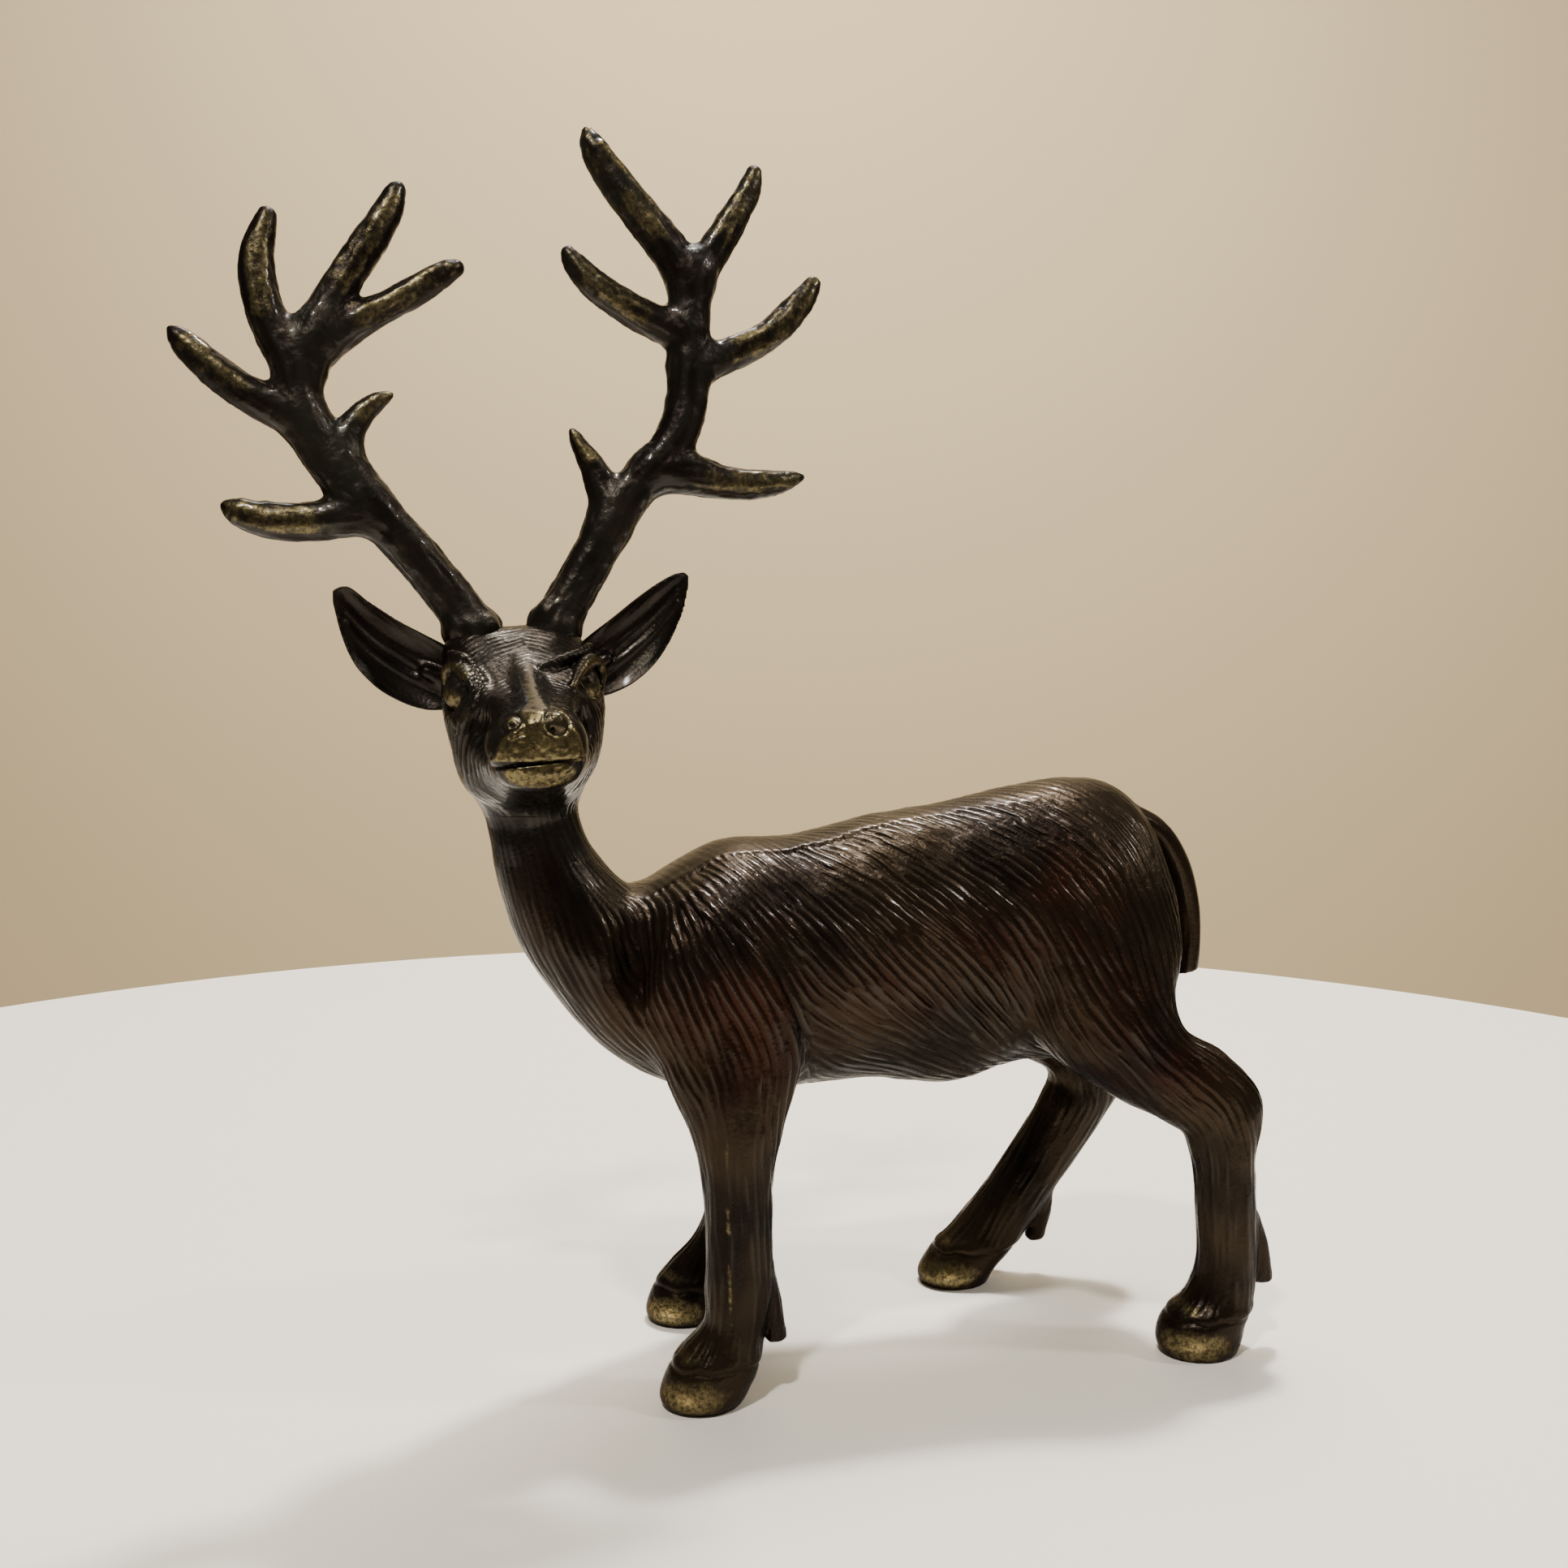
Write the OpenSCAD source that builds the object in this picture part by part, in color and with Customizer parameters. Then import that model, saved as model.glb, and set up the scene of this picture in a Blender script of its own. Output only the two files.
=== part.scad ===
// Standing stag, a patinated cast statuette.
// Hollow body, neck and head castings, with solid legs, tail, ears and antlers brazed on over dowels.
// The stag faces -Y, its left side is +X and its head is turned a quarter turn to its left.
// Stations are in millimetres at the nominal height, from the ground under the withers.

/* [Size] */
// Height from the soles to the tallest antler tip
total_h = 297; // [200:1:400]

/* [Castings] */
// Wall thickness of the hollow body, neck and head
wall = 3; // [2.5:0.5:4]
// Number of sides of each cross section of the body and limbs
sides = 16; // [12:4:24]
// Number of sides of each cross section of the antler tines
tine_sides = 8; // [6:2:12]

/* [Joints] */
// Radius of the dowels in the leg joints
leg_dowel_r = 2.5; // [1.5:0.5:3]
// Radius of the dowels in the antler and ear roots
root_dowel_r = 1.5; // [1:0.25:2]
// Radius of the plug in the belly
plug_r = 4; // [3:0.5:5]
// Length of the sleeves inside the two neck joints
sleeve_l = 12; // [8:1:14]
// Wall thickness of those sleeves
sleeve_wall = 1.5; // [1:0.25:2]

/* [Hidden] */

nominal_h = 297;
size_ratio = total_h / nominal_h;
// The middle of the statuette's outline on the ground, which becomes the origin
centre_x = 3.24;
centre_y = -32.73;

dark = [0.16, 0.12, 0.10];
brown = [0.27, 0.16, 0.12];
bright = [0.66, 0.52, 0.28];
steel = [0.55, 0.55, 0.52];

dowel_fn = 24;
far = 400;

// Trunk, from the rump to the base of the neck: [top y, top z, bottom y, bottom z, half width]
trunk = [
    [79.8, 110, 79.8, 89, 8],
    [77.6, 121.5, 77.6, 81, 14],
    [72.9, 133.3, 73.8, 74, 20.3],
    [65.5, 140, 67, 69.5, 24.5],
    [53, 142, 54, 68.5, 27],
    [38, 140, 39, 69.5, 27],
    [20, 136.3, 20, 65, 26],
    [0, 133.3, 0, 67.5, 26],
    [-20, 128.8, -19, 67.3, 27],
    [-38, 128.7, -38, 66, 27],
    [-47.5, 123.8, -55, 71, 25],
    [-55, 119.5, -68.5, 80, 22],
    [-59, 118.3, -78.3, 91.3, 19],
    [-61.5, 118.5, -87.3, 105.3, 15.5]];

// Neck, from that last trunk ring up to the throat, in the same form
neck_rings = [
    [-61.5, 118.5, -87.3, 105.3, 15.5],
    [-65, 121.5, -90.3, 113.5, 13.5],
    [-69.5, 127, -92.3, 122.5, 12],
    [-72, 132.5, -93.8, 130.5, 11.3],
    [-73, 137.5, -95, 136.5, 11],
    [-72.5, 143, -96.5, 142, 11.5],
    [-73.5, 149, -95, 148, 11]];

// The station of the neck where the bore of the throat starts, and the ring where it ends in the skull
throat_station = 3;
skull_hollow = [-76, 156, -92, 156, 8.5];

// Head, from the back of the skull to the nose: [x, top z, bottom z, half width above, half width
// below], on an axis along +X, tilted a little about that axis
head_y = -86.4;
head_z = 161.5;
head_roll = 4.5;
// Below 1, this fills out the corners of the head's sections
head_fullness = 0.75;
head_rings = [
    [-17, 170, 156, 5, 5],
    [-13, 174.5, 149, 12, 9.5],
    [-7, 177, 141, 17, 12.5],
    [1, 178, 137, 19.5, 14.5],
    [9, 176, 136.5, 20.3, 14.5],
    [16, 171.5, 138.5, 19.8, 14.2],
    [23, 166.5, 141, 16.3, 12.3],
    [30, 163.5, 142.8, 12.3, 11],
    [37, 161, 144, 10, 9.5],
    [42, 159.5, 144.5, 9.3, 8.8],
    [45, 157.5, 147, 7, 6.8]];

// Legs, from the root inside the trunk to the sole: [x, y, z, half width, half depth, tilt of the
// section's depth from level]. The casting starts at the station with the index given below it.
front_left = [
    [15, -38, 104, 9, 20, 0],
    [18, -39, 88, 11, 19, 0],
    [20.5, -40, 74, 10.5, 15.3, 0],
    [22, -39.7, 62, 9.5, 10.8, 0],
    [23, -39.7, 52.5, 8, 8.5, 0],
    [24, -39.7, 42.5, 7.2, 7.9, 0],
    [24.3, -39.8, 27, 7.2, 7.9, 0],
    [24.3, -41.2, 16, 7.5, 7.3, -15],
    [24.3, -44.3, 10, 8.5, 9.4, -20],
    [24.3, -47.3, 5, 9.2, 10.4, -5],
    [24.3, -48.3, 1.5, 9, 10, 0],
    [24.3, -48.3, 0, 8, 9, 0]];
front_right = [
    [-15, -36, 104, 9, 20, 0],
    [-18, -35, 88, 11, 19, 0],
    [-20, -33, 74, 10.5, 15.3, 0],
    [-21.5, -30.5, 62, 9.5, 10.6, 0],
    [-22.5, -29.5, 52.5, 8, 8.5, 0],
    [-23, -28.5, 42.5, 7.2, 7.9, 0],
    [-24, -29, 28, 7.2, 7.9, -10],
    [-24.3, -33.3, 17, 7.5, 8, -25],
    [-24.3, -38.5, 10, 8.5, 9.4, -25],
    [-24.3, -41.8, 5, 9.2, 10.4, -5],
    [-24.3, -42.8, 1.5, 9, 10, 0],
    [-24.3, -42.8, 0, 8, 9, 0]];
front_cut = 3;

hind_left = [
    [14, 54, 112.5, 10, 20, 0],
    [19, 53.5, 97.5, 12, 19.5, 5],
    [22, 54.5, 84.5, 12, 17.5, 20],
    [25, 63.5, 73, 9.5, 12.8, 35],
    [27, 76, 66, 8.4, 11.5, 42],
    [28.3, 83.3, 58.5, 7.8, 10.9, 20],
    [29, 83.3, 49, 7.2, 8.2, 0],
    [29.5, 84, 35, 7, 7.4, 0],
    [29.5, 84, 19, 7.2, 7.7, 0],
    [29.5, 81.8, 12, 8, 8.8, -10],
    [29.5, 78, 7.5, 9, 10.7, -5],
    [29.5, 77, 3, 9.2, 10.8, 0],
    [29.5, 77, 0, 8.4, 9.6, 0]];
hind_right = [
    [-14, 54, 112.5, 10, 20, 0],
    [-19, 53, 97.5, 12, 20, 5],
    [-22, 53.6, 84.5, 12, 19.5, 20],
    [-24, 61.8, 74.5, 10, 15.6, 35],
    [-25, 71.5, 66, 9, 12.5, 35],
    [-26, 73.5, 56.5, 8.2, 11, 5],
    [-26.5, 68, 46, 7.8, 9.2, -25],
    [-27.5, 59.5, 33, 7.6, 8.4, -33],
    [-28.5, 50, 20, 7.8, 8.4, -33],
    [-29.3, 42.5, 11, 8.3, 9, -25],
    [-29.5, 37.5, 6, 9, 10.2, -8],
    [-29.5, 35.3, 2.5, 9.2, 10.4, 0],
    [-29.5, 35, 0, 8.4, 9.4, 0]];
hind_cut = 4;

// Dewclaws: [x, y, z, half width, half depth], top to tip
front_left_claw = [[24.3, -34, 32, 3, 2.5], [24.3, -32.3, 21.5, 3, 3], [24.3, -31, 12.5, 2.2, 2.6]];
front_right_claw = [[-24, -23, 32, 3, 2.5], [-24, -22, 23, 3, 3], [-24, -21.6, 14, 2.2, 2.4]];
hind_left_claw = [[29.5, 90, 34.5, 3, 2.5], [29.5, 92.3, 24.5, 3, 3], [29.5, 93.8, 15.5, 2.2, 2.7]];
hind_right_claw = [[-27.5, 61.5, 27, 3, 2.5], [-28, 60.8, 18, 3, 2.8], [-28, 58.6, 10, 2.2, 2.4]];

// Tail: [y, z, half thickness, half width, tilt of the thickness from level]
tail_rings = [
    [71, 131.5, 4, 6, 65],
    [78, 127.5, 4, 6.5, 50],
    [83.8, 119.5, 4, 6.5, 25],
    [87.2, 109, 3.9, 6.2, 8],
    [88, 98, 3.9, 5.8, 4],
    [87.7, 90.3, 4.1, 5.4, 14]];

// Antlers: each branch is a list of [y, z, radius]; the antler leans back as it rises
antler_lean = -0.1;
antler_base_x = 2;
burr_z = 181.5;
left_beam = [[-81, 174.5, 5.8], [-77.2, 181.5, 5.6], [-72.2, 190, 5.2], [-66.8, 199.5, 5.2],
    [-61.8, 208, 5.2], [-56.7, 214.5, 5], [-50.3, 221.5, 5], [-46.3, 230, 5.1], [-44.9, 239.5, 5.1],
    [-44.5, 252, 5.1], [-43.8, 264.5, 5.1]];
left_tines = [
    [[-44, 262.5, 4.9], [-49.9, 271, 4.8], [-56.5, 279, 4.5], [-62.7, 286.8, 4.1], [-67, 293.7, 3],
        [-68, 296.45, 1.5]],
    [[-43.5, 262.5, 4.6], [-36.7, 272.7, 4], [-32, 280.5, 3.6], [-28, 288.5, 2.5], [-27.5, 290.4, 2]],
    [[-46, 250, 4.4], [-54, 252.7, 4.2], [-62, 256.8, 3.8], [-68, 261, 3.5], [-72.5, 266, 2.4],
        [-73.2, 267.2, 1.9]],
    [[-45, 241.5, 4.6], [-35, 245.3, 4.1], [-26, 250, 3.6], [-19, 256.5, 3.6], [-14, 262.7, 2.5],
        [-13.3, 264.2, 2]],
    [[-54, 216.5, 5.2], [-45, 216, 5], [-37, 214.4, 4], [-27, 214.4, 3.4], [-19.5, 215.8, 1.8],
        [-17.5, 216.4, 0.9]],
    [[-65.5, 203, 4.8], [-65.2, 208.3, 4.3], [-66.8, 213.3, 3.7], [-69.7, 219, 2.7], [-72.2, 223.3, 1.7],
        [-73, 225, 1]]];
right_beam = [[-95, 173.5, 5.8], [-98, 180, 5.6], [-105.2, 189.8, 5.2], [-112.8, 199, 5.2],
    [-120.5, 207, 5.2], [-127.6, 215, 5.2], [-132.5, 224, 5.2], [-134.5, 232, 5.1], [-133.7, 239, 5],
    [-131, 245, 5]];
right_tines = [
    [[-131, 243.5, 4.6], [-127.3, 252.2, 4.2], [-122, 261, 4.1], [-117, 269, 3.8], [-113.2, 276.5, 2.9],
        [-112.4, 278.7, 2.3]],
    [[-131, 241, 4.8], [-124, 246.5, 4.4], [-115.8, 251.5, 3.5], [-107.8, 256.4, 3.4], [-101, 261, 2.6],
        [-99.6, 261.8, 2.2]],
    [[-134, 236, 5], [-139, 243.5, 4.6], [-142.2, 252.5, 4.2], [-143, 261, 3.8], [-141.2, 268.8, 2.7],
        [-140.7, 270.6, 2.2]],
    [[-133, 224.5, 4.8], [-140, 227.8, 4.5], [-147.3, 231.6, 4], [-154, 236.8, 3.7], [-159.5, 242, 2.4],
        [-161, 243.6, 1.1]],
    [[-121.3, 209.5, 4.8], [-124, 216, 4.2], [-123.8, 222, 3.6], [-120.5, 227.2, 2.7], [-116, 230.8, 1.7],
        [-114.6, 231.5, 1]],
    [[-119, 205, 5.3], [-126, 203.3, 4.9], [-134, 202, 4.4], [-142.5, 202.4, 4], [-148.3, 204.2, 2.6],
        [-150, 205, 1.4]]];

// Ears: [y, z, width above the axis, width below it, depth of the cup], from the root to the tip
ear_x = 2;
ear_thick = 2.4;
left_ear = [[-71, 168.5, 8, 6.2, 0], [-65, 172.5, 8.7, 9, 2.5], [-59, 177.5, 8.5, 11, 3.5],
    [-53, 183, 7.2, 10.6, 3.5], [-48.7, 187.5, 4.8, 7.2, 2], [-46.2, 190.5, 1.4, 2.6, 0.5]];
right_ear = [[-102, 166, 8, 6.2, 0], [-107.5, 168.7, 8.3, 8.8, 2.5], [-114, 172.5, 8, 10.4, 3.5],
    [-120, 177, 7.5, 10.7, 3.5], [-124.8, 182, 5.8, 8.8, 2], [-128, 186, 1.6, 3, 0.5]];

// Sleeves: centre and axis of the two neck joints, and the half depth and half width of each sleeve
neck_base = [[0, -74.4, 111.9], [0, -0.455, 0.89]];
neck_base_half = [11.8, 12.7];
throat = [[0, -83.7, 136.5], [0, -0.03, 1]];
throat_half = [8.5, 8.6];
leg_dowel_l = 16;
antler_dowel_l = 12;
ear_dowel_l = 8;
tail_dowel_l = 9;
plug_y = 8;
plug_z = 67.4;
plug_l = 5;

function angles(n) = [for (i = [0 : n - 1]) 360 * (i + 0.5) / n];
function unit(v) = v / norm(v);
function squared(c) = sign(c) * pow(abs(c), head_fullness);

// A ring of the trunk or neck, drawn in by the wall thickness when inset is given
function spine_ring(s, inset = 0) =
    let (mid = [0, s[0] + s[2], s[1] + s[3]] / 2, up = [0, s[0] - s[2], s[1] - s[3]] / 2,
        up_in = up * (1 - inset / norm(up)), w = s[4] - inset)
    [for (a = angles(sides)) mid + w * cos(a) * [1, 0, 0] + sin(a) * up_in];

// A ring of the head, wider above than below, turned about the head's own axis
function head_ring(s, inset = 0) =
    let (mid = (s[1] + s[2]) / 2, h = (s[1] - s[2]) / 2 - inset, across = [0, cos(head_roll), sin(head_roll)],
        up = [0, -sin(head_roll), cos(head_roll)])
    [for (a = angles(sides)) let (c = squared(cos(a)), v = squared(sin(a)),
        w = (s[3] + s[4]) / 2 + (s[3] - s[4]) / 2 * v - inset)
        [s[0], head_y, head_z] + w * c * across + (mid - head_z + h * v) * up];

function leg_ring(s) =
    [for (a = angles(sides)) [s[0], s[1], s[2]] + s[3] * cos(a) * [1, 0, 0]
        + s[4] * sin(a) * [0, cos(s[5]), sin(s[5])]];
function claw_ring(s) =
    [for (a = angles(tine_sides)) [s[0] + s[3] * cos(a), s[1] + s[4] * sin(a), s[2]]];
function tail_ring(s) =
    [for (a = angles(sides)) [s[3] * cos(a), s[0] + s[2] * sin(a) * cos(s[4]), s[1] + s[2] * sin(a) * sin(s[4])]];

// A ring of an antler branch, square to the line through its neighbours
function lean_x(z) = antler_base_x + antler_lean * (z - burr_z);
function branch_point(s) = [lean_x(s[1]), s[0], s[1]];
function branch_rings(b) =
    [for (i = [0 : len(b) - 1]) let (a = branch_point(b[max(i - 1, 0)]),
        c = branch_point(b[min(i + 1, len(b) - 1)]), along = unit(c - a),
        side = unit(cross(along, [1, 0, 0])))
        [for (t = angles(tine_sides)) branch_point(b[i]) + b[i][2] * (cos(t) * [1, 0, 0] + sin(t) * side)]];

// Joins each ring to the next
module loft(rings) {
    count = len(rings[0]);
    for (i = [0 : len(rings) - 2])
        hull()
            polyhedron(points = concat(rings[i], rings[i + 1]), faces = [[for (j = [0 : 2 * count - 1]) j]]);
}

// Draws its children round the given axis
module along(point, axis) {
    tilt = acos(axis[2] / norm(axis));
    translate(point)
        rotate([0, tilt, atan2(axis[1], axis[0])])
            children();
}

// Puts the origin at the bottom centre of the statuette, at its chosen size
module placed() {
    scale(size_ratio)
        translate([-centre_x, -centre_y, 0])
            children();
}

module trunk_solid(inset = 0) {
    loft([for (s = trunk) spine_ring(s, inset)]);
}

module neck_solid(inset = 0) {
    loft([for (s = neck_rings) spine_ring(s, inset)]);
}

module head_solid(inset = 0) {
    loft([for (s = head_rings) head_ring(s, inset)]);
}

// The throat of the neck, carried on up into the skull
module throat_bore() {
    loft([spine_ring(neck_rings[throat_station], wall), spine_ring(skull_hollow, 0)]);
}

module leg_solid(leg, first, last) {
    loft([for (i = [first : last]) leg_ring(leg[i])]);
}

module claw_solid(claw) {
    loft([for (s = claw) claw_ring(s)]);
}

module leg_casting(leg, cut, claw) {
    leg_solid(leg, cut, len(leg) - 1);
    claw_solid(claw);
}

module branch(b) {
    loft(branch_rings(b));
}

module antler_solid(beam, tines) {
    branch(beam);
    for (t = tines)
        branch(t);
}

// One half of the cupped leaf between two ear stations, from the axis to one edge
module ear_panel(a, b, side) {
    across = [0, 0, 1];
    edge = side > 0 ? 2 : 3;
    points = [for (s = [a, b]) for (front = [0, 1])
        let (mid = [ear_x - s[4] - front * ear_thick, s[0], s[1]], rim = [ear_x - front * ear_thick, s[0], s[1]])
        each [mid, rim + side * s[edge] * across]];
    hull()
        polyhedron(points = points, faces = [[for (j = [0 : 7]) j]]);
}

module ear_solid(ear) {
    for (i = [0 : len(ear) - 2])
        for (side = [-1, 1])
            ear_panel(ear[i], ear[i + 1], side);
}

module tail_solid() {
    loft([for (s = tail_rings) tail_ring(s)]);
}

module dowel(point, axis, r, l) {
    along(point, axis)
        cylinder(h = l, r = r, center = true, $fn = dowel_fn);
}

module leg_dowel(leg, cut) {
    s = leg[cut];
    dowel([s[0], s[1], s[2]], [0, -sin(s[5]), cos(s[5])], leg_dowel_r, leg_dowel_l);
}

module all_leg_dowels() {
    leg_dowel(front_left, front_cut);
    leg_dowel(front_right, front_cut);
    leg_dowel(hind_left, hind_cut);
    leg_dowel(hind_right, hind_cut);
}

module antler_dowel(beam) {
    a = branch_point(beam[0]);
    b = branch_point(beam[1]);
    dowel(a, b - a, root_dowel_r, antler_dowel_l);
}

module ear_dowel(ear) {
    a = [ear_x - ear_thick / 2, ear[0][0], ear[0][1]];
    b = [ear_x - ear_thick / 2, ear[1][0], ear[1][1]];
    dowel(a, b - a, root_dowel_r / 2, ear_dowel_l);
}

module tail_root_dowel() {
    dowel([0, 71, 130], [0, 1, 0.2], root_dowel_r, tail_dowel_l);
}

module plug() {
    translate([0, plug_y, plug_z])
        cylinder(h = plug_l, r = plug_r, $fn = dowel_fn);
}

// The outside of a sleeve, or its bore when inset is given
module sleeve_blank(joint, half, inset, l) {
    along(joint[0], joint[1])
        linear_extrude(height = l, center = true)
            scale([half[0] - inset, half[1] - inset])
                circle(r = 1, $fn = dowel_fn);
}

module all_legs() {
    leg_casting(front_left, front_cut, front_left_claw);
    leg_casting(front_right, front_cut, front_right_claw);
    leg_casting(hind_left, hind_cut, hind_left_claw);
    leg_casting(hind_right, hind_cut, hind_right_claw);
}

// The hollow trunk with the solid roots of the legs, before it is parted
module body_shell() {
    difference() {
        union() {
            difference() {
                trunk_solid();
                trunk_solid(wall);
            }
            leg_solid(front_left, 0, front_cut);
            leg_solid(front_right, 0, front_cut);
            leg_solid(hind_left, 0, hind_cut);
            leg_solid(hind_right, 0, hind_cut);
        }
        all_legs();
        all_leg_dowels();
        tail_solid();
        tail_root_dowel();
        sleeve_blank(neck_base, neck_base_half, 0, sleeve_l);
        plug();
    }
}

module body_half(side) {
    intersection() {
        body_shell();
        translate([side * far / 2, 0, 0])
            cube(far, center = true);
    }
}

module body_left_half() {
    color(brown)
        placed()
            body_half(1);
}

module body_right_half() {
    color(brown)
        placed()
            body_half(-1);
}

module neck() {
    color(brown)
        placed()
            difference() {
                neck_solid();
                neck_solid(wall);
                head_solid();
                sleeve_blank(neck_base, neck_base_half, 0, sleeve_l);
                sleeve_blank(throat, throat_half, 0, sleeve_l);
            }
}

module head() {
    color(dark)
        placed()
            difference() {
                head_solid();
                throat_bore();
                sleeve_blank(throat, throat_half, 0, sleeve_l);
                antler_solid(left_beam, left_tines);
                antler_solid(right_beam, right_tines);
                ear_solid(left_ear);
                ear_solid(right_ear);
                antler_dowel(left_beam);
                antler_dowel(right_beam);
                ear_dowel(left_ear);
                ear_dowel(right_ear);
            }
}

module ear(stations) {
    color(dark)
        placed()
            difference() {
                ear_solid(stations);
                ear_dowel(stations);
            }
}

module antler(beam, tines) {
    color(dark)
        placed()
            difference() {
                antler_solid(beam, tines);
                antler_dowel(beam);
            }
}

module leg(stations, cut, claw) {
    color(brown)
        placed()
            difference() {
                leg_casting(stations, cut, claw);
                leg_dowel(stations, cut);
            }
}

module tail() {
    color(dark)
        placed()
            difference() {
                tail_solid();
                tail_root_dowel();
            }
}

module sleeve(joint, half) {
    color(bright)
        placed()
            difference() {
                sleeve_blank(joint, half, 0, sleeve_l);
                sleeve_blank(joint, half, sleeve_wall, sleeve_l + 1);
            }
}

module leg_dowels() {
    color(steel)
        placed()
            all_leg_dowels();
}

module antler_dowels() {
    color(steel)
        placed() {
            antler_dowel(left_beam);
            antler_dowel(right_beam);
        }
}

module ear_dowels() {
    color(steel)
        placed() {
            ear_dowel(left_ear);
            ear_dowel(right_ear);
        }
}

module tail_dowel() {
    color(steel)
        placed()
            tail_root_dowel();
}

module belly_plug() {
    color(bright)
        placed()
            plug();
}

body_left_half();
body_right_half();
neck();
head();
ear(left_ear);  // ear_left
ear(right_ear);  // ear_right
antler(left_beam, left_tines);  // antler_left
antler(right_beam, right_tines);  // antler_right
leg(front_left, front_cut, front_left_claw);  // front_left_leg
leg(front_right, front_cut, front_right_claw);  // front_right_leg
leg(hind_left, hind_cut, hind_left_claw);  // hind_left_leg
leg(hind_right, hind_cut, hind_right_claw);  // hind_right_leg
tail();
sleeve(neck_base, neck_base_half);  // neck_base_sleeve
sleeve(throat, throat_half);  // throat_sleeve
leg_dowels();
antler_dowels();
ear_dowels();
tail_dowel();
belly_plug();
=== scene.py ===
"""Looks of the patinated stag statuette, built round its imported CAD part."""

import bpy
import numpy as np
import openvdb as vdb
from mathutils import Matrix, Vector


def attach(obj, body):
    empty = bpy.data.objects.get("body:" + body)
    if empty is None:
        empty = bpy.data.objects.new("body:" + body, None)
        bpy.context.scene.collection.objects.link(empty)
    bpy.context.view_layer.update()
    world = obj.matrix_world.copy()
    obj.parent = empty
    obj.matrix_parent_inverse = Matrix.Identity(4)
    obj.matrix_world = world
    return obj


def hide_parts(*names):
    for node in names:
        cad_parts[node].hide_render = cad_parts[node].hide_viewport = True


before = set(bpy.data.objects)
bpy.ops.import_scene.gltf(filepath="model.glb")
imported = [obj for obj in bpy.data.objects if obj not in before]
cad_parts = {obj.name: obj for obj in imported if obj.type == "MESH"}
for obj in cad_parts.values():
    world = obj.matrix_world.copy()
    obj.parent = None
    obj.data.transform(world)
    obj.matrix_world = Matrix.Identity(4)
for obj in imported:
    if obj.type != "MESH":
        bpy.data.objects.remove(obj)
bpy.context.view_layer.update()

# ---------------------------------------------------------------- units
# Stations are in millimetres from the ground under the withers, as in the part's source.
ORIGIN = np.array([3.24, -32.73, 0.0])
MM = 0.001
ACROSS = np.array([1.0, 0, 0])

# Grid steps of the skins, and points round each section
SKIN_STEP = 1.02
HEAD_STEP = 0.35
ANTLER_STEP = 0.55
LEAF_STEP = 0.4
RING_SIDES = 48

# ---------------------------------------------------------------- stations
# Trunk and neck: top y, top z, bottom y, bottom z, half width
TRUNK = [
    (79.8, 110, 79.8, 89, 8), (77.6, 121.5, 77.6, 81, 14), (72.9, 133.3, 73.8, 74, 20.3),
    (65.5, 140, 67, 69.5, 24.5), (53, 142, 54, 68.5, 27), (38, 140, 39, 69.5, 27),
    (20, 136.3, 20, 65, 26), (0, 133.3, 0, 67.5, 26), (-20, 128.8, -19, 67.3, 27),
    (-38, 128.2, -38, 66, 27), (-47.5, 123.8, -55, 71, 25), (-55, 119.5, -68.5, 80, 22),
    (-59, 118.3, -78.3, 91.3, 19), (-61.5, 118.5, -87.3, 105.3, 15.5),
]
NECK = [
    (-65, 121.5, -90.3, 113.5, 13.5), (-69.5, 127, -92.3, 122.5, 12),
    (-72, 132.5, -93.8, 130.5, 11.3), (-73, 137.5, -95, 136.5, 11),
    (-72.5, 143, -96.5, 142, 11.5), (-73.5, 152, -95, 151, 10),
]
# Head: x, top z, bottom z, half width above, half width below, about an axis along +X
HEAD_Y, HEAD_Z, HEAD_ROLL, HEAD_FULLNESS = -86.4, 161.5, np.radians(4.5), 0.75
HEAD = [
    (-17, 170, 156, 5, 5), (-13, 174.5, 149, 12, 9.5), (-7, 177, 141, 17, 12.5),
    (1, 178, 137, 19.5, 14.5), (9, 176, 136.5, 20.3, 14.5), (16, 171.5, 138.5, 19.8, 14.2),
    (23, 166.5, 141, 16.3, 12.3), (30, 163.5, 142.8, 12.3, 11), (37, 161, 144, 10, 9.5),
    (42, 159.5, 144.5, 9.3, 8.8), (45, 157.5, 147, 7, 6.8),
]
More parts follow.
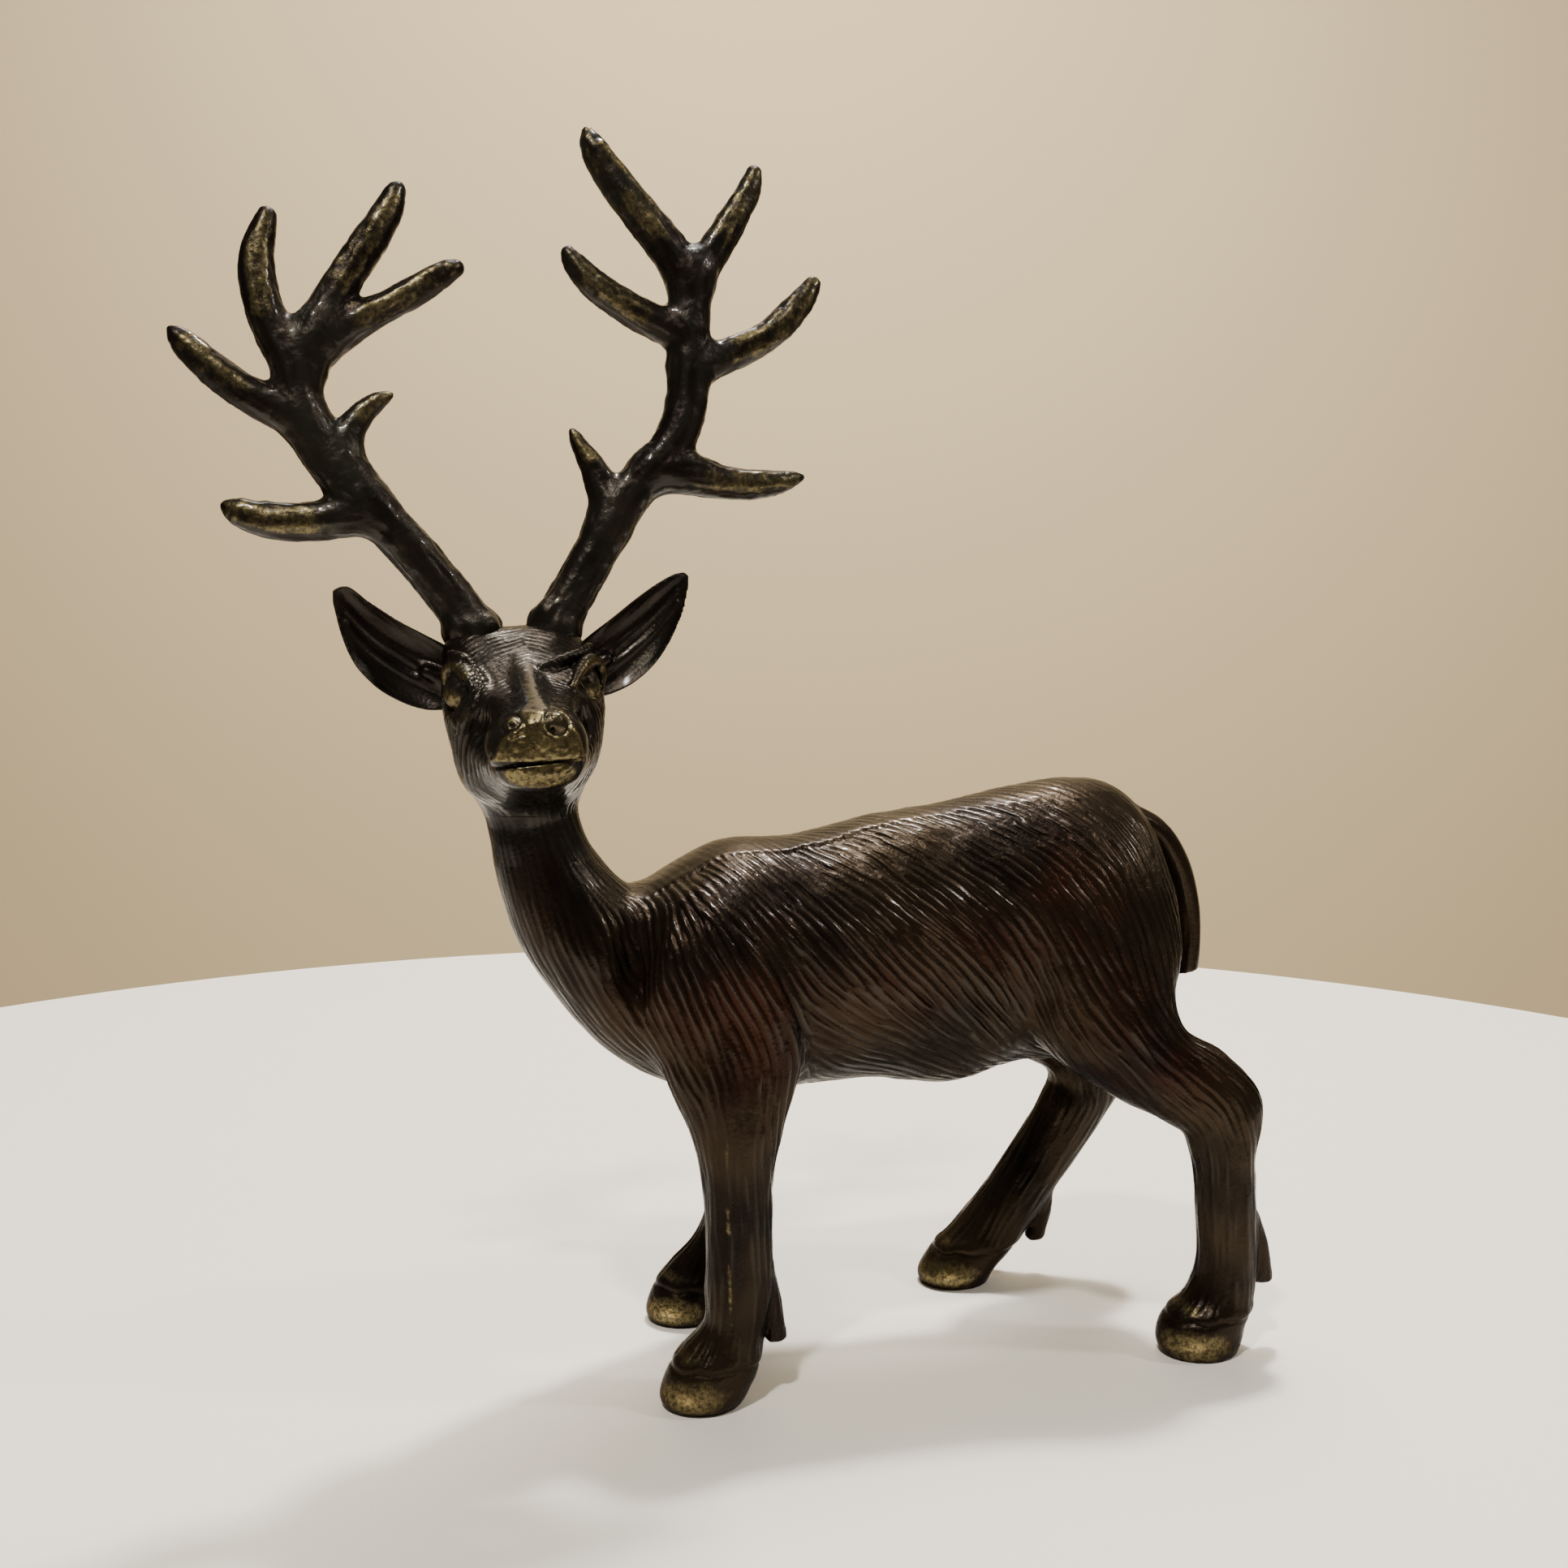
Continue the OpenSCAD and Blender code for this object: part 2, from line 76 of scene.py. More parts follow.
# Legs: x, y, z, half width, half depth, tilt of the section's depth from level
LEGS = {
    "front_left": [
        (15, -38, 104, 9, 20, 0), (18, -39, 88, 11, 19, 0), (20.5, -40, 74, 10.5, 15.3, 0),
        (22, -39.7, 62, 9.5, 10.8, 0), (23, -39.7, 52.5, 8, 8.5, 0), (24, -39.7, 42.5, 7.2, 7.9, 0),
        (24.3, -39.8, 27, 7.2, 7.9, 0), (24.3, -41.2, 16, 7.5, 7.3, -15), (24.3, -44.3, 10, 8.5, 9.4, -20),
        (24.3, -47.3, 5, 9.2, 10.4, -5), (24.3, -48.3, 1.5, 9, 10, 0), (24.3, -48.3, 0, 8, 9, 0)],
    "front_right": [
        (-15, -36, 104, 9, 20, 0), (-18, -35, 88, 11, 19, 0), (-20, -33, 74, 10.5, 15.3, 0),
        (-21.5, -30.5, 62, 9.5, 10.6, 0), (-22.5, -29.5, 52.5, 8, 8.5, 0), (-23, -28.5, 42.5, 7.2, 7.9, 0),
        (-24, -29, 28, 7.2, 7.9, -10), (-24.3, -33.3, 17, 7.5, 8, -25), (-24.3, -38.5, 10, 8.5, 9.4, -25),
        (-24.3, -41.8, 5, 9.2, 10.4, -5), (-24.3, -42.8, 1.5, 9, 10, 0), (-24.3, -42.8, 0, 8, 9, 0)],
    "hind_left": [
        (14, 54, 112.5, 10, 20, 0), (19, 53.5, 97.5, 12, 19.5, 5), (22, 54.5, 84.5, 12, 17.5, 20),
        (25, 63.5, 73, 9.5, 12.8, 35), (27, 76, 66, 8.4, 11.5, 42), (28.3, 83.3, 58.5, 7.8, 10.9, 20),
        (29, 83.3, 49, 7.2, 8.2, 0), (29.5, 84, 35, 7, 7.4, 0), (29.5, 84, 19, 7.2, 7.7, 0),
        (29.5, 81.8, 12, 8, 8.8, -10), (29.5, 78, 7.5, 9, 10.7, -5), (29.5, 77, 3, 9.2, 10.8, 0),
        (29.5, 77, 0, 8.4, 9.6, 0)],
    "hind_right": [
        (-14, 54, 112.5, 10, 20, 0), (-19, 53, 97.5, 12, 20, 5), (-22, 53.6, 84.5, 12, 19.5, 20),
        (-24, 61.8, 74.5, 10, 15.6, 35), (-25, 71.5, 66, 9, 12.5, 35), (-26, 73.5, 56.5, 8.2, 11, 5),
        (-26.5, 68, 46, 7.8, 9.2, -25), (-27.5, 59.5, 33, 7.6, 8.4, -33), (-28.5, 50, 20, 7.8, 8.4, -33),
        (-29.3, 42.5, 11, 8.3, 9, -25), (-29.5, 37.5, 6, 9, 10.2, -8), (-29.5, 35.3, 2.5, 9.2, 10.4, 0),
        (-29.5, 35, 0, 8.4, 9.4, 0)],
}
# The station of each leg where its casting starts
LEG_CUT = {"front_left": 3, "front_right": 3, "hind_left": 4, "hind_right": 4}
CLAWS = {
    "front_left": [(24.3, -34, 32, 3, 2.5), (24.3, -32.3, 21.5, 3, 3), (24.3, -30.7, 12.5, 2.2, 2.5)],
    "front_right": [(-24, -23, 32, 3, 2.5), (-24, -22, 23, 3, 3), (-24, -21.6, 14, 2.2, 2.4)],
    "hind_left": [(29.5, 90, 34.5, 3, 2.5), (29.5, 93.0, 24.5, 3, 3), (29.5, 94.8, 15.5, 2.2, 2.8)],
    "hind_right": [(-27.5, 61.5, 27, 3, 2.5), (-28, 60.8, 18, 3, 2.8), (-28, 58.6, 10, 2.2, 2.4)],
}


# ---------------------------------------------------------------- curves and rings
def smooth_rows(rows, per_gap, lead):
    """Rows on a smooth curve through the given rows, whose first lead columns are a position."""
    rows = np.array(rows, float)
    gap = np.linalg.norm(np.diff(rows[:, :lead], axis=0), axis=1)[:, None]
    slope = np.diff(rows, axis=0) / gap
    inner = (slope[:-1] * gap[1:] + slope[1:] * gap[:-1]) / (gap[:-1] + gap[1:])
    tangent = np.vstack([slope[:1], inner, slope[-1:]])
    u = (np.arange(per_gap) / per_gap)[:, None]
    made = []
    for i in range(len(gap)):
        start, end = rows[i], rows[i + 1]
        made.append(
            (2 * u**3 - 3 * u**2 + 1) * start + (3 * u**2 - 2 * u**3) * end
            + (u**3 - 2 * u**2 + u) * gap[i] * tangent[i] + (u**3 - u**2) * gap[i] * tangent[i + 1])
    return np.vstack(made + [rows[-1:]])


def turn():
    a = np.arange(RING_SIDES) * 2 * np.pi / RING_SIDES
    return np.cos(a)[None, :, None], np.sin(a)[None, :, None]


def spine_rings(stations):
    s = smooth_rows(stations, 6, 4)
    zero = np.zeros(len(s))
    top = np.stack([zero, s[:, 0], s[:, 1]], 1)[:, None]
    low = np.stack([zero, s[:, 2], s[:, 3]], 1)[:, None]
    c, v = turn()
    return (top + low) / 2 + v * (top - low) / 2 + c * s[:, 4][:, None, None] * ACROSS


def head_rings(stations):
    s = smooth_rows(stations, 6, 3)
    c, v = turn()
    c = np.sign(c) * np.abs(c) ** HEAD_FULLNESS
    v = np.sign(v) * np.abs(v) ** HEAD_FULLNESS
    across = np.array([0, np.cos(HEAD_ROLL), np.sin(HEAD_ROLL)])
    up = np.array([0, -np.sin(HEAD_ROLL), np.cos(HEAD_ROLL)])
    mid, half = [(s[:, 1] + k * s[:, 2])[:, None, None] / 2 for k in (1, -1)]
    mean, flare = [(s[:, 3] + k * s[:, 4])[:, None, None] / 2 for k in (1, -1)]
    axis = np.stack([s[:, 0], np.full(len(s), HEAD_Y), np.full(len(s), HEAD_Z)], 1)[:, None]
    return axis + (mean + flare * v) * c * across + (mid - HEAD_Z + half * v) * up


def oval_rings(middle, width, depth, tilt):
    """Ovals of half width along X and half depth towards the rear, tilted up from level in degrees."""
    c, v = turn()
    tilt = np.radians(tilt)
    rear = np.stack([np.zeros(len(tilt)), np.cos(tilt), np.sin(tilt)], 1)[:, None]
    return middle[:, None] + c * width[:, None, None] * ACROSS + v * depth[:, None, None] * rear


def leg_rings(stations):
    s = smooth_rows(stations, 5, 3)
    return oval_rings(s[:, :3], s[:, 3], s[:, 4], s[:, 5])


def claw_rings(stations):
    s = smooth_rows(stations, 4, 3)
    return oval_rings(s[:, :3], s[:, 3], s[:, 4], np.zeros(len(s)))


def tail_rings(stations):
    s = smooth_rows(stations, 6, 2)
    middle = np.column_stack([np.zeros(len(s)), s[:, :2]])
    return oval_rings(middle, s[:, 3], s[:, 2], s[:, 4])


def skin_of(rings):
    """Points, triangles and quads of a closed tube through the rings."""
    n, m = rings.shape[:2]
    points = np.vstack([rings.reshape(-1, 3), rings[0].mean(0), rings[-1].mean(0)])
    i, j = np.meshgrid(np.arange(n - 1), np.arange(m), indexing="ij")
    k = (j + 1) % m
    quads = np.stack([i * m + j, i * m + k, (i + 1) * m + k, (i + 1) * m + j], -1).reshape(-1, 4)
    a = np.arange(m)
    b = (a + 1) % m
    first = np.stack([b, a, np.full(m, n * m)], 1)
    last = np.stack([a, b, np.full(m, n * m + 1)], 1) + np.array([(n - 1) * m, (n - 1) * m, 0])
    return points, np.vstack([first, last]), quads


# ---------------------------------------------------------------- distance fields
class Volume:
    """A box of space sampled on a grid, which holds the signed distance to a shape, in millimetres."""

    def __init__(self, low, high, step, band=6.0):
        self.step, self.band = step, band
        self.first = np.floor(np.array(low) / step).astype(int)
        self.shape = tuple(np.ceil(np.array(high) / step).astype(int) - self.first + 1)
        self.field = np.full(self.shape, band, np.float32)

    def grid(self):
        axes = [(self.first[a] + np.arange(self.shape[a])) * self.step for a in range(3)]
        return [axis.astype(np.float32).reshape([-1 if a == b else 1 for b in range(3)])
                for a, axis in enumerate(axes)]

    def of_rings(self, rings):
        points, triangles, quads = skin_of(rings)
        level = vdb.FloatGrid.createLevelSetFromPolygons(
            points.astype(np.float32), triangles=triangles.astype(np.uint32), quads=quads.astype(np.uint32),
            transform=vdb.createLinearTransform(voxelSize=self.step), halfWidth=self.band / self.step)
        made = np.full(self.shape, self.band, np.float32)
        level.copyToArray(made, ijk=tuple(int(v) for v in self.first))
        return made

    def add(self, other, blend):
        self.field = joined(self.field, other, blend)

    def near(self, low, high):
        """Slices of the grid round a box, and the coordinates inside it."""
        a = np.clip(np.floor(np.array(low) / self.step).astype(int) - self.first, 0, np.array(self.shape) - 1)
        b = np.clip(np.ceil(np.array(high) / self.step).astype(int) - self.first + 1, 1, self.shape)
        cut = tuple(slice(int(p), int(q)) for p, q in zip(a, b))
        x, y, z = self.grid()
        return cut, (x[cut[0]], y[:, cut[1]], z[:, :, cut[2]])

    def ball(self, centre, radii, blend, carve=False):
        centre, radii = np.array(centre, float), np.array(radii, float)
        cut, (x, y, z) = self.near(centre - radii - blend - 1, centre + radii + blend + 1)
        scaled = np.sqrt(((x - centre[0]) / radii[0]) ** 2 + ((y - centre[1]) / radii[1]) ** 2
                         + ((z - centre[2]) / radii[2]) ** 2)
        self.mix(cut, (scaled - 1) * radii.min(), blend, carve)

    def rod(self, path, blend, carve=False):
        """A rod along a path of (x, y, z, radius)."""
        path = np.array(path, float)
        reach = path[:, 3].max() + blend + 1
        cut, (x, y, z) = self.near(path[:, :3].min(0) - reach, path[:, :3].max(0) + reach)
        self.mix(cut, rod_distance(path, x, y, z), blend, carve)

    def mix(self, cut, made, blend, carve):
        part = self.field[cut]
        self.field[cut] = -joined(-part, made, blend) if carve else joined(part, made, blend)

    def dent(self, low, high, depth):
        """Moves the surface in by depth(x, y, z) millimetres inside a box, or out where it is negative."""
        cut, (x, y, z) = self.near(low, high)
        self.field[cut] += depth(x, y, z)

    def surface(self):
        """Points and outward quads of the zero level."""
        level = vdb.FloatGrid(self.band)
        level.copyFromArray(self.field, ijk=tuple(int(v) for v in self.first))
        level.transform = vdb.createLinearTransform(voxelSize=self.step)
        points, quads = level.convertToQuads(isovalue=0)
        a, b, c = [points[quads[:, k]].astype(float) for k in (0, 1, 2)]
        if np.einsum("ij,ij->", a, np.cross(b, c)) < 0:
            quads = quads[:, ::-1]
        return largest_part(points.astype(np.float64), quads.astype(np.int64))


def volume_round(points, margin, step, band=6.0):
    points = points.reshape(-1, 3)
    return Volume(points.min(0) - margin, points.max(0) + margin, step, band)


def largest_part(points, quads):
    """The main surface, without any speck that carving left apart from it."""
    label = np.arange(len(points))
    ends = quads.ravel(), np.roll(quads, 1, axis=1).ravel()
    while True:
        low = np.minimum(label[ends[0]], label[ends[1]])
        lower = label.copy()
        for end in ends:
            np.minimum.at(lower, end, low)
        lower = lower[lower]
        if (lower == label).all():
            break
        label = lower
    part = label[quads[:, 0]]
    used, index = np.unique(quads[part == np.bincount(part).argmax()], return_inverse=True)
    return points[used], index.reshape(-1, 4)


def joined(a, b, blend):
    """The smooth union of two distance fields."""
    if blend <= 0:
        return np.minimum(a, b)
    h = np.maximum(blend - np.abs(a - b), 0) / blend
    return np.minimum(a, b) - h * h * (blend / 4)


def rod_distance(path, x, y, z):
    best = None
    for a, b in zip(path[:-1], path[1:]):
        d = b[:3] - a[:3]
        length = max(float(d @ d), 1e-9)
        t = np.clip(((x - a[0]) * d[0] + (y - a[1]) * d[1] + (z - a[2]) * d[2]) / length, 0, 1)
        gap = np.sqrt((x - a[0] - t * d[0]) ** 2 + (y - a[1] - t * d[1]) ** 2 + (z - a[2] - t * d[2]) ** 2)
        gap = gap - (a[3] + t * (b[3] - a[3]))
        best = gap if best is None else np.minimum(best, gap)
    return best.astype(np.float32)


def cells(p, low, step, shape):
    """The grid cell that holds each point, and the point's place in it from 0 to 1."""
    q = np.clip((p - low) / step, 0, np.array(shape) - 1.001)
    i = q.astype(np.int64)
    return i, q - i


class Lattice:
    """Values on a grid of points, read anywhere by trilinear interpolation."""

    def __init__(self, low, step, values):
        self.low, self.step, self.values = np.array(low, float), step, values

    def at(self, p):
        n = np.array(self.values.shape[:3])
        i, f = cells(p, self.low, self.step, n)
        f = f.astype(np.float32)
        share = [[1 - f[:, a], f[:, a]] for a in range(3)]
        flat = self.values.reshape(int(n.prod()), -1)
        base = (i[:, 0] * n[1] + i[:, 1]) * n[2] + i[:, 2]
        out = 0
        for corner in range(8):
            dx, dy, dz = corner & 1, (corner >> 1) & 1, corner >> 2
            w = share[0][dx] * share[1][dy] * share[2][dz]
            out = out + flat[base + (dx * n[1] + dy) * n[2] + dz] * w[:, None]
        return out


# ---------------------------------------------------------------- body, neck and legs
def add_muscles(v):
    for side in (-1, 1):
        v.ball((side * 17, -41, 97), (12, 17, 22), 6)
        v.ball((side * 18.5, 54, 101), (12, 18, 24), 6)
        v.rod([(side * 31.5, 22, 121, 2), (side * 31, 28, 106, 3.4), (side * 29, 33, 90, 2.6)], 7, carve=True)
        v.rod([(side * 31, -29, 108, 1), (side * 31, -22, 95, 2.6), (side * 29, -19, 80, 3)], 5, carve=True)
        v.ball((side * 20, -63, 106), (4, 4, 11), 5, carve=True)


def skin_volume():
    v = Volume((-42, -112, -4), (42, 106, 152), SKIN_STEP)
    v.field = v.of_rings(spine_rings(TRUNK + NECK))
    for name, stations in LEGS.items():
        leg = joined(v.of_rings(leg_rings(stations)), v.of_rings(claw_rings(CLAWS[name])), 1.2)
        v.add(leg, 5)
    v.add(v.of_rings(head_rings(HEAD)), 5)
    add_muscles(v)
    return v


# ---------------------------------------------------------------- chased hair
# How the hair lies on the left flank: y, z, and degrees below level towards the rear
HAIR = [
    (-92, 125, 80), (-90, 114, 74), (-82, 98, 57), (-72, 86, 42), (-64, 78, 32), (-54, 72, 40),
    (-84, 110, 75), (-79, 97, 68), (-72, 90, 62), (-72, 130, 55), (-68, 123, 52), (-67, 119, 60),
    (-64, 115, 68), (-72, 111, 75), (-68, 104, 75), (-61, 108, 68), (-56, 113, 62), (-50, 117, 57),
    (-43, 118, 53), (-35, 117, 49), (-27, 120, 45), (-44, 108, 60), (-36, 108, 52), (-32, 103, 52),
    (-47, 96, 66), (-39, 96, 62), (-32, 96, 58), (-45, 84, 70), (-37, 84, 66), (-31, 83, 80),
    (-43, 72, 86), (-35, 72, 95), (-29, 73, 105), (-13, 124, 33), (7, 128, 30), (24, 132, 30),
    (37, 131, 33), (-4, 117, 38), (13, 121, 34), (29, 122, 38), (-19, 105, 50), (-5, 104, 46),
    (8, 106, 42), (20, 113, 40), (31, 113, 50), (-11, 92, 42), (3, 91, 46), (14, 93, 50),
    (-18, 84, 28), (-4, 81, 25), (11, 79, 35), (23, 90, 48), (36, 103, 62), (39, 87, 60),
    (28, 98, 55), (30, 132, 30), (45, 133, 38), (58, 132, 45), (36, 121, 45), (51, 118, 57),
    (62, 120, 65), (68, 117, 72), (41, 107, 60), (53, 104, 66), (62, 100, 80), (67, 94, 88),
    (35, 95, 60), (45, 93, 58), (53, 87, 50), (64, 89, 60), (40, 81, 45), (51, 75, 42),
    (66, 75, 40), (72, 66, 38), (79, 112, 75), (80, 98, 88), (-90, 140, 84), (-76, 142, 80),
    (-83, 132, 76), (-82, 124, 74),
]
# The same on each leg below that
LEG_HAIR = {
    1: [(-40, 60, 90), (-40, 40, 90), (-41, 20, 95), (-46, 6, 120), (82, 68, 38), (85, 60, 75),
        (84, 45, 90), (84, 25, 90), (79, 6, 115)],
    -1: [(-31, 60, 90), (-28, 42, 92), (-30, 22, 110), (-40, 6, 120), (72, 66, 50), (74, 58, 90),
         (66, 44, 124), (54, 26, 124), (38, 6, 125)],
}


def weighted(px, py, controls, values, soft):
    """Values spread from scattered controls by inverse distance."""
    total, weight = 0, 0
    for (cx, cy, *_), value in zip(controls, values):
        w = 1 / ((px - cx) ** 2 + (py - cy) ** 2 + soft) ** 1.5
        total = total + w[..., None] * np.array(value)
        weight = weight + w
    return total / weight[..., None]


def slope_of(field, step):
    grads = np.stack(np.gradient(field, step), -1)
    return grads / np.maximum(np.linalg.norm(grads, axis=-1, keepdims=True), 1e-6)


def flow_lattice(v, lay, skip):
    """Unit directions along the hair, held against the surface of v. lay(x, y, z) is the wanted lie."""
    field = v.field[::skip, ::skip, ::skip]
    step = v.step * skip
    out = slope_of(field, step)
    low = v.first * v.step
    x, y, z = np.meshgrid(*[low[a] + np.arange(field.shape[a]) * step for a in range(3)], indexing="ij")
    want = lay(x, y, z)
    want = want - out * np.sum(want * out, -1, keepdims=True)
    want = want / np.maximum(np.linalg.norm(want, axis=-1, keepdims=True), 1e-3)
    return Lattice(low, step, want.astype(np.float32))


def body_lay(x, y, z):
    y2, z2 = y[0], z[0]
    made = np.zeros(x.shape + (3,), np.float32)
    for side in (-1, 1):
        controls = HAIR + LEG_HAIR[side]
        angles = np.radians([c[2] for c in controls])
        flat = weighted(y2, z2, controls, np.stack([np.cos(angles), -np.sin(angles)], 1), 6.0)
        half = np.sign(x[:, 0, 0] + 1e-6) == side
        made[half, :, :, 1:] = flat
        made[half, :, :, 0] = -side * flat[:, :, 1] * step01(z2, 108, 124) * step01(y2, -64, -50)
    return made


def noise_lattice(v, step, seed, channels=2):
    low = v.first * v.step - 2
    size = (np.array(v.shape) * v.step + 4) / step
    values = np.random.default_rng(seed).standard_normal(tuple(size.astype(int) + 2) + (channels,))
    near = sum(np.roll(values, s, a) for a in range(3) for s in (-1, 1)) / 6
    return Lattice(low, step, (values - 0.55 * near).astype(np.float32))


def comb(points, flow, noise, reach, stride):
    """Noise averaged along the hair through each point, which leaves ridges that run with the hair."""
    total = noise.at(points)
    weight = 1.0
    for way in (-1, 1):
        p = points.copy()
        for k in range(int(reach / stride)):
            p = p + way * stride * flow.at(p)
            w = 0.5 + 0.5 * np.cos(np.pi * (k + 1) * stride / (reach + stride))
            total = total + w * noise.at(p)
            weight += w
    total = total / weight
    return total / total.std(0)


class Lines:
    """Parallel lines along the hair. A coarse grid round the surface holds how the lines cross each
    point and at which phase, and each round brings a point's phase closer to its neighbours'."""

    def __init__(self, v, lay, pitch, skip, seed, rounds=90):
        field = v.field[::skip, ::skip, ::skip]
        self.step = v.step * skip
        self.low = v.first * v.step
        out = slope_of(field, self.step)
        x, y, z = np.meshgrid(*[self.low[a] + np.arange(field.shape[a]) * self.step for a in range(3)],
                              indexing="ij")
        way = lay(x, y, z)
        across = np.cross(out, way - out * np.sum(way * out, -1, keepdims=True))
        across = across / np.maximum(np.linalg.norm(across, axis=-1, keepdims=True), 1e-3)
        self.wave = (across * (2 * np.pi / pitch(x, y, z))[..., None]).astype(np.float32)
        near = (np.abs(field) < 2.5 * self.step).astype(np.float32)
        turns = np.random.default_rng(seed).uniform(0, 2 * np.pi, field.shape)
        self.phasor = (np.exp(1j * turns) * near).astype(np.complex64)
        links = []
        for d in [(i, j, k) for i in (-1, 0, 1) for j in (-1, 0, 1) for k in (-1, 0, 1) if i or j or k]:
            mean = (self.wave + np.roll(self.wave, d, (0, 1, 2))) / 2
            carry = np.exp(1j * (mean @ (np.array(d, np.float32) * self.step))) / np.linalg.norm(d)
            links.append((d, (carry * near).astype(np.complex64)))
        for _ in range(rounds):
            total = 1.5 * self.phasor
            for d, carry in links:
                total = total + np.roll(self.phasor, d, (0, 1, 2)) * carry
            self.phasor = total / np.maximum(np.abs(total), 1e-6)

    def at(self, p):
        """The phase of the lines at each point, and how steady they are there, from 0 to 1."""
        i, f = cells(p, self.low, self.step, self.phasor.shape)
        total = 0
        for d in [(a, b, c) for a in (0, 1) for b in (0, 1) for c in (0, 1)]:
            j = i + d
            w = np.prod(np.where(d, f, 1 - f), axis=1)
            gap = p - (self.low + j * self.step)
            turn = np.einsum("ij,ij->i", self.wave[j[:, 0], j[:, 1], j[:, 2]], gap)
            total = total + w * self.phasor[j[:, 0], j[:, 1], j[:, 2]] * np.exp(1j * turn)
        return np.angle(total), np.abs(total)


def ridges(lines, p, warp):
    """Rounded ridges with narrow grooves between them, from about -1 to 0.5."""
    turn, steady = lines.at(p)
    height = np.sqrt(np.cos((turn + warp) / 2) ** 2 + 0.02)
    return (1.6 * height - 1.05) * step01(steady, 0.15, 0.6)


def curve(t, knots):
    """A value that follows (place, value) knots."""
    return np.interp(t, [k[0] for k in knots], [k[1] for k in knots])


def step01(t, a, b):
    u = np.clip((t - a) / (b - a), 0, 1)
    return u * u * (3 - 2 * u)


# ---------------------------------------------------------------- meshes
def mesh_of(name, points, faces, extra=()):
    """A mesh of equal faces, with any extra polygons after them."""
    made = bpy.data.meshes.new(name)
    size = faces.shape[1]
    loops = np.concatenate([faces.ravel()] + [np.array(e) for e in extra]).astype(np.int32)
    starts = np.arange(len(faces)) * size
    counts = np.cumsum([len(faces) * size] + [len(e) for e in extra])
    made.vertices.add(len(points))
    made.vertices.foreach_set("co", np.ascontiguousarray(points, np.float32).ravel())
    made.loops.add(len(loops))
    made.loops.foreach_set("vertex_index", loops)
    made.polygons.add(len(faces) + len(extra))
    made.polygons.foreach_set("loop_start", np.concatenate([starts, counts[:-1]]).astype(np.int32))
    made.update(calc_edges=True)
    made.validate()
    return made


def show(name, mesh):
    made = bpy.data.objects.new(name, mesh)
    bpy.context.scene.collection.objects.link(made)
    return made


def read_mesh(mesh, corners):
    points = np.empty(len(mesh.vertices) * 3, np.float32)
    mesh.vertices.foreach_get("co", points)
    loops = np.empty(len(mesh.loops), np.int32)
    mesh.loops.foreach_get("vertex_index", loops)
    return points.reshape(-1, 3).astype(np.float64), loops.reshape(-1, corners)


def subdivided(points, quads):
    """The smooth surface with each quad in four."""
    made = show("rough", mesh_of("rough", points, quads))
    made.modifiers.new("smooth", "SUBSURF").levels = 1
    out = made.evaluated_get(bpy.context.evaluated_depsgraph_get())
    points, quads = read_mesh(out.data, 4)
    mesh = made.data
    bpy.data.objects.remove(made)
    bpy.data.meshes.remove(mesh)
    return points, quads


def normals_of(points, faces):
    """Area-weighted vertex normals."""
    corner = [points[faces[:, k]] for k in range(faces.shape[1])]
    face = np.cross(corner[2] - corner[0], corner[-1] - corner[1])
    if faces.shape[1] == 3:
        face = np.cross(corner[1] - corner[0], corner[2] - corner[0])
    made = np.zeros_like(points)
    for a in range(3):
        for k in range(faces.shape[1]):
            made[:, a] += np.bincount(faces[:, k], face[:, a], len(points))
    return made / np.maximum(np.linalg.norm(made, axis=1, keepdims=True), 1e-12)


def raised(points, quads, normal, height):
    """The surface moved out by a height at each point, as points, triangles and new normals."""
    points = points + normal * height[:, None]
    tris = triangles_of(points, quads)
    return points, tris, normals_of(points, tris)


def triangles_of(points, quads):
    a, b, c, d = [points[quads[:, k]] for k in range(4)]
    even = np.linalg.norm(a - c, axis=1) < np.linalg.norm(b - d, axis=1)
    first = np.where(even[:, None], quads[:, [0, 1, 2]], quads[:, [0, 1, 3]])
    second = np.where(even[:, None], quads[:, [0, 2, 3]], quads[:, [1, 2, 3]])
    return np.vstack([first, second])


def cut(points, tris, point, normal, where):
    """Splits the triangles that cross a plane, among those where(middle) picks. The last columns of
    points may hold values that go with each point."""
    side = (points[:, :3] - point) @ normal
    side = np.where(np.abs(side) < 1e-5, 1e-5, side)
    above = side[tris] > 0
    crossing = above.any(1) & ~above.all(1)
    crossing &= where(points[tris, :3].mean(1))
    work, up = tris[crossing], above[crossing]
    lone = np.where(up.sum(1) == 1, up.argmax(1), (~up).argmax(1))
    order = (lone[:, None] + np.arange(3)) % 3
    v0, v1, v2 = np.take_along_axis(work, order, 1).T
    ends = np.sort(np.vstack([np.stack([v0, v1], 1), np.stack([v0, v2], 1)]), 1)
    pairs, index = np.unique(ends, axis=0, return_inverse=True)
    index = index.reshape(-1) + len(points)
    t = side[pairs[:, 0]] / (side[pairs[:, 0]] - side[pairs[:, 1]])
    fresh = points[pairs[:, 0]] * (1 - t[:, None]) + points[pairs[:, 1]] * t[:, None]
    a, b = index[:len(v0)], index[len(v0):]
    parts = [np.stack(t, 1) for t in ((v0, a, b), (a, v1, v2), (a, v2, b))]
    return np.vstack([points, fresh]), np.vstack([tris[~crossing]] + parts)


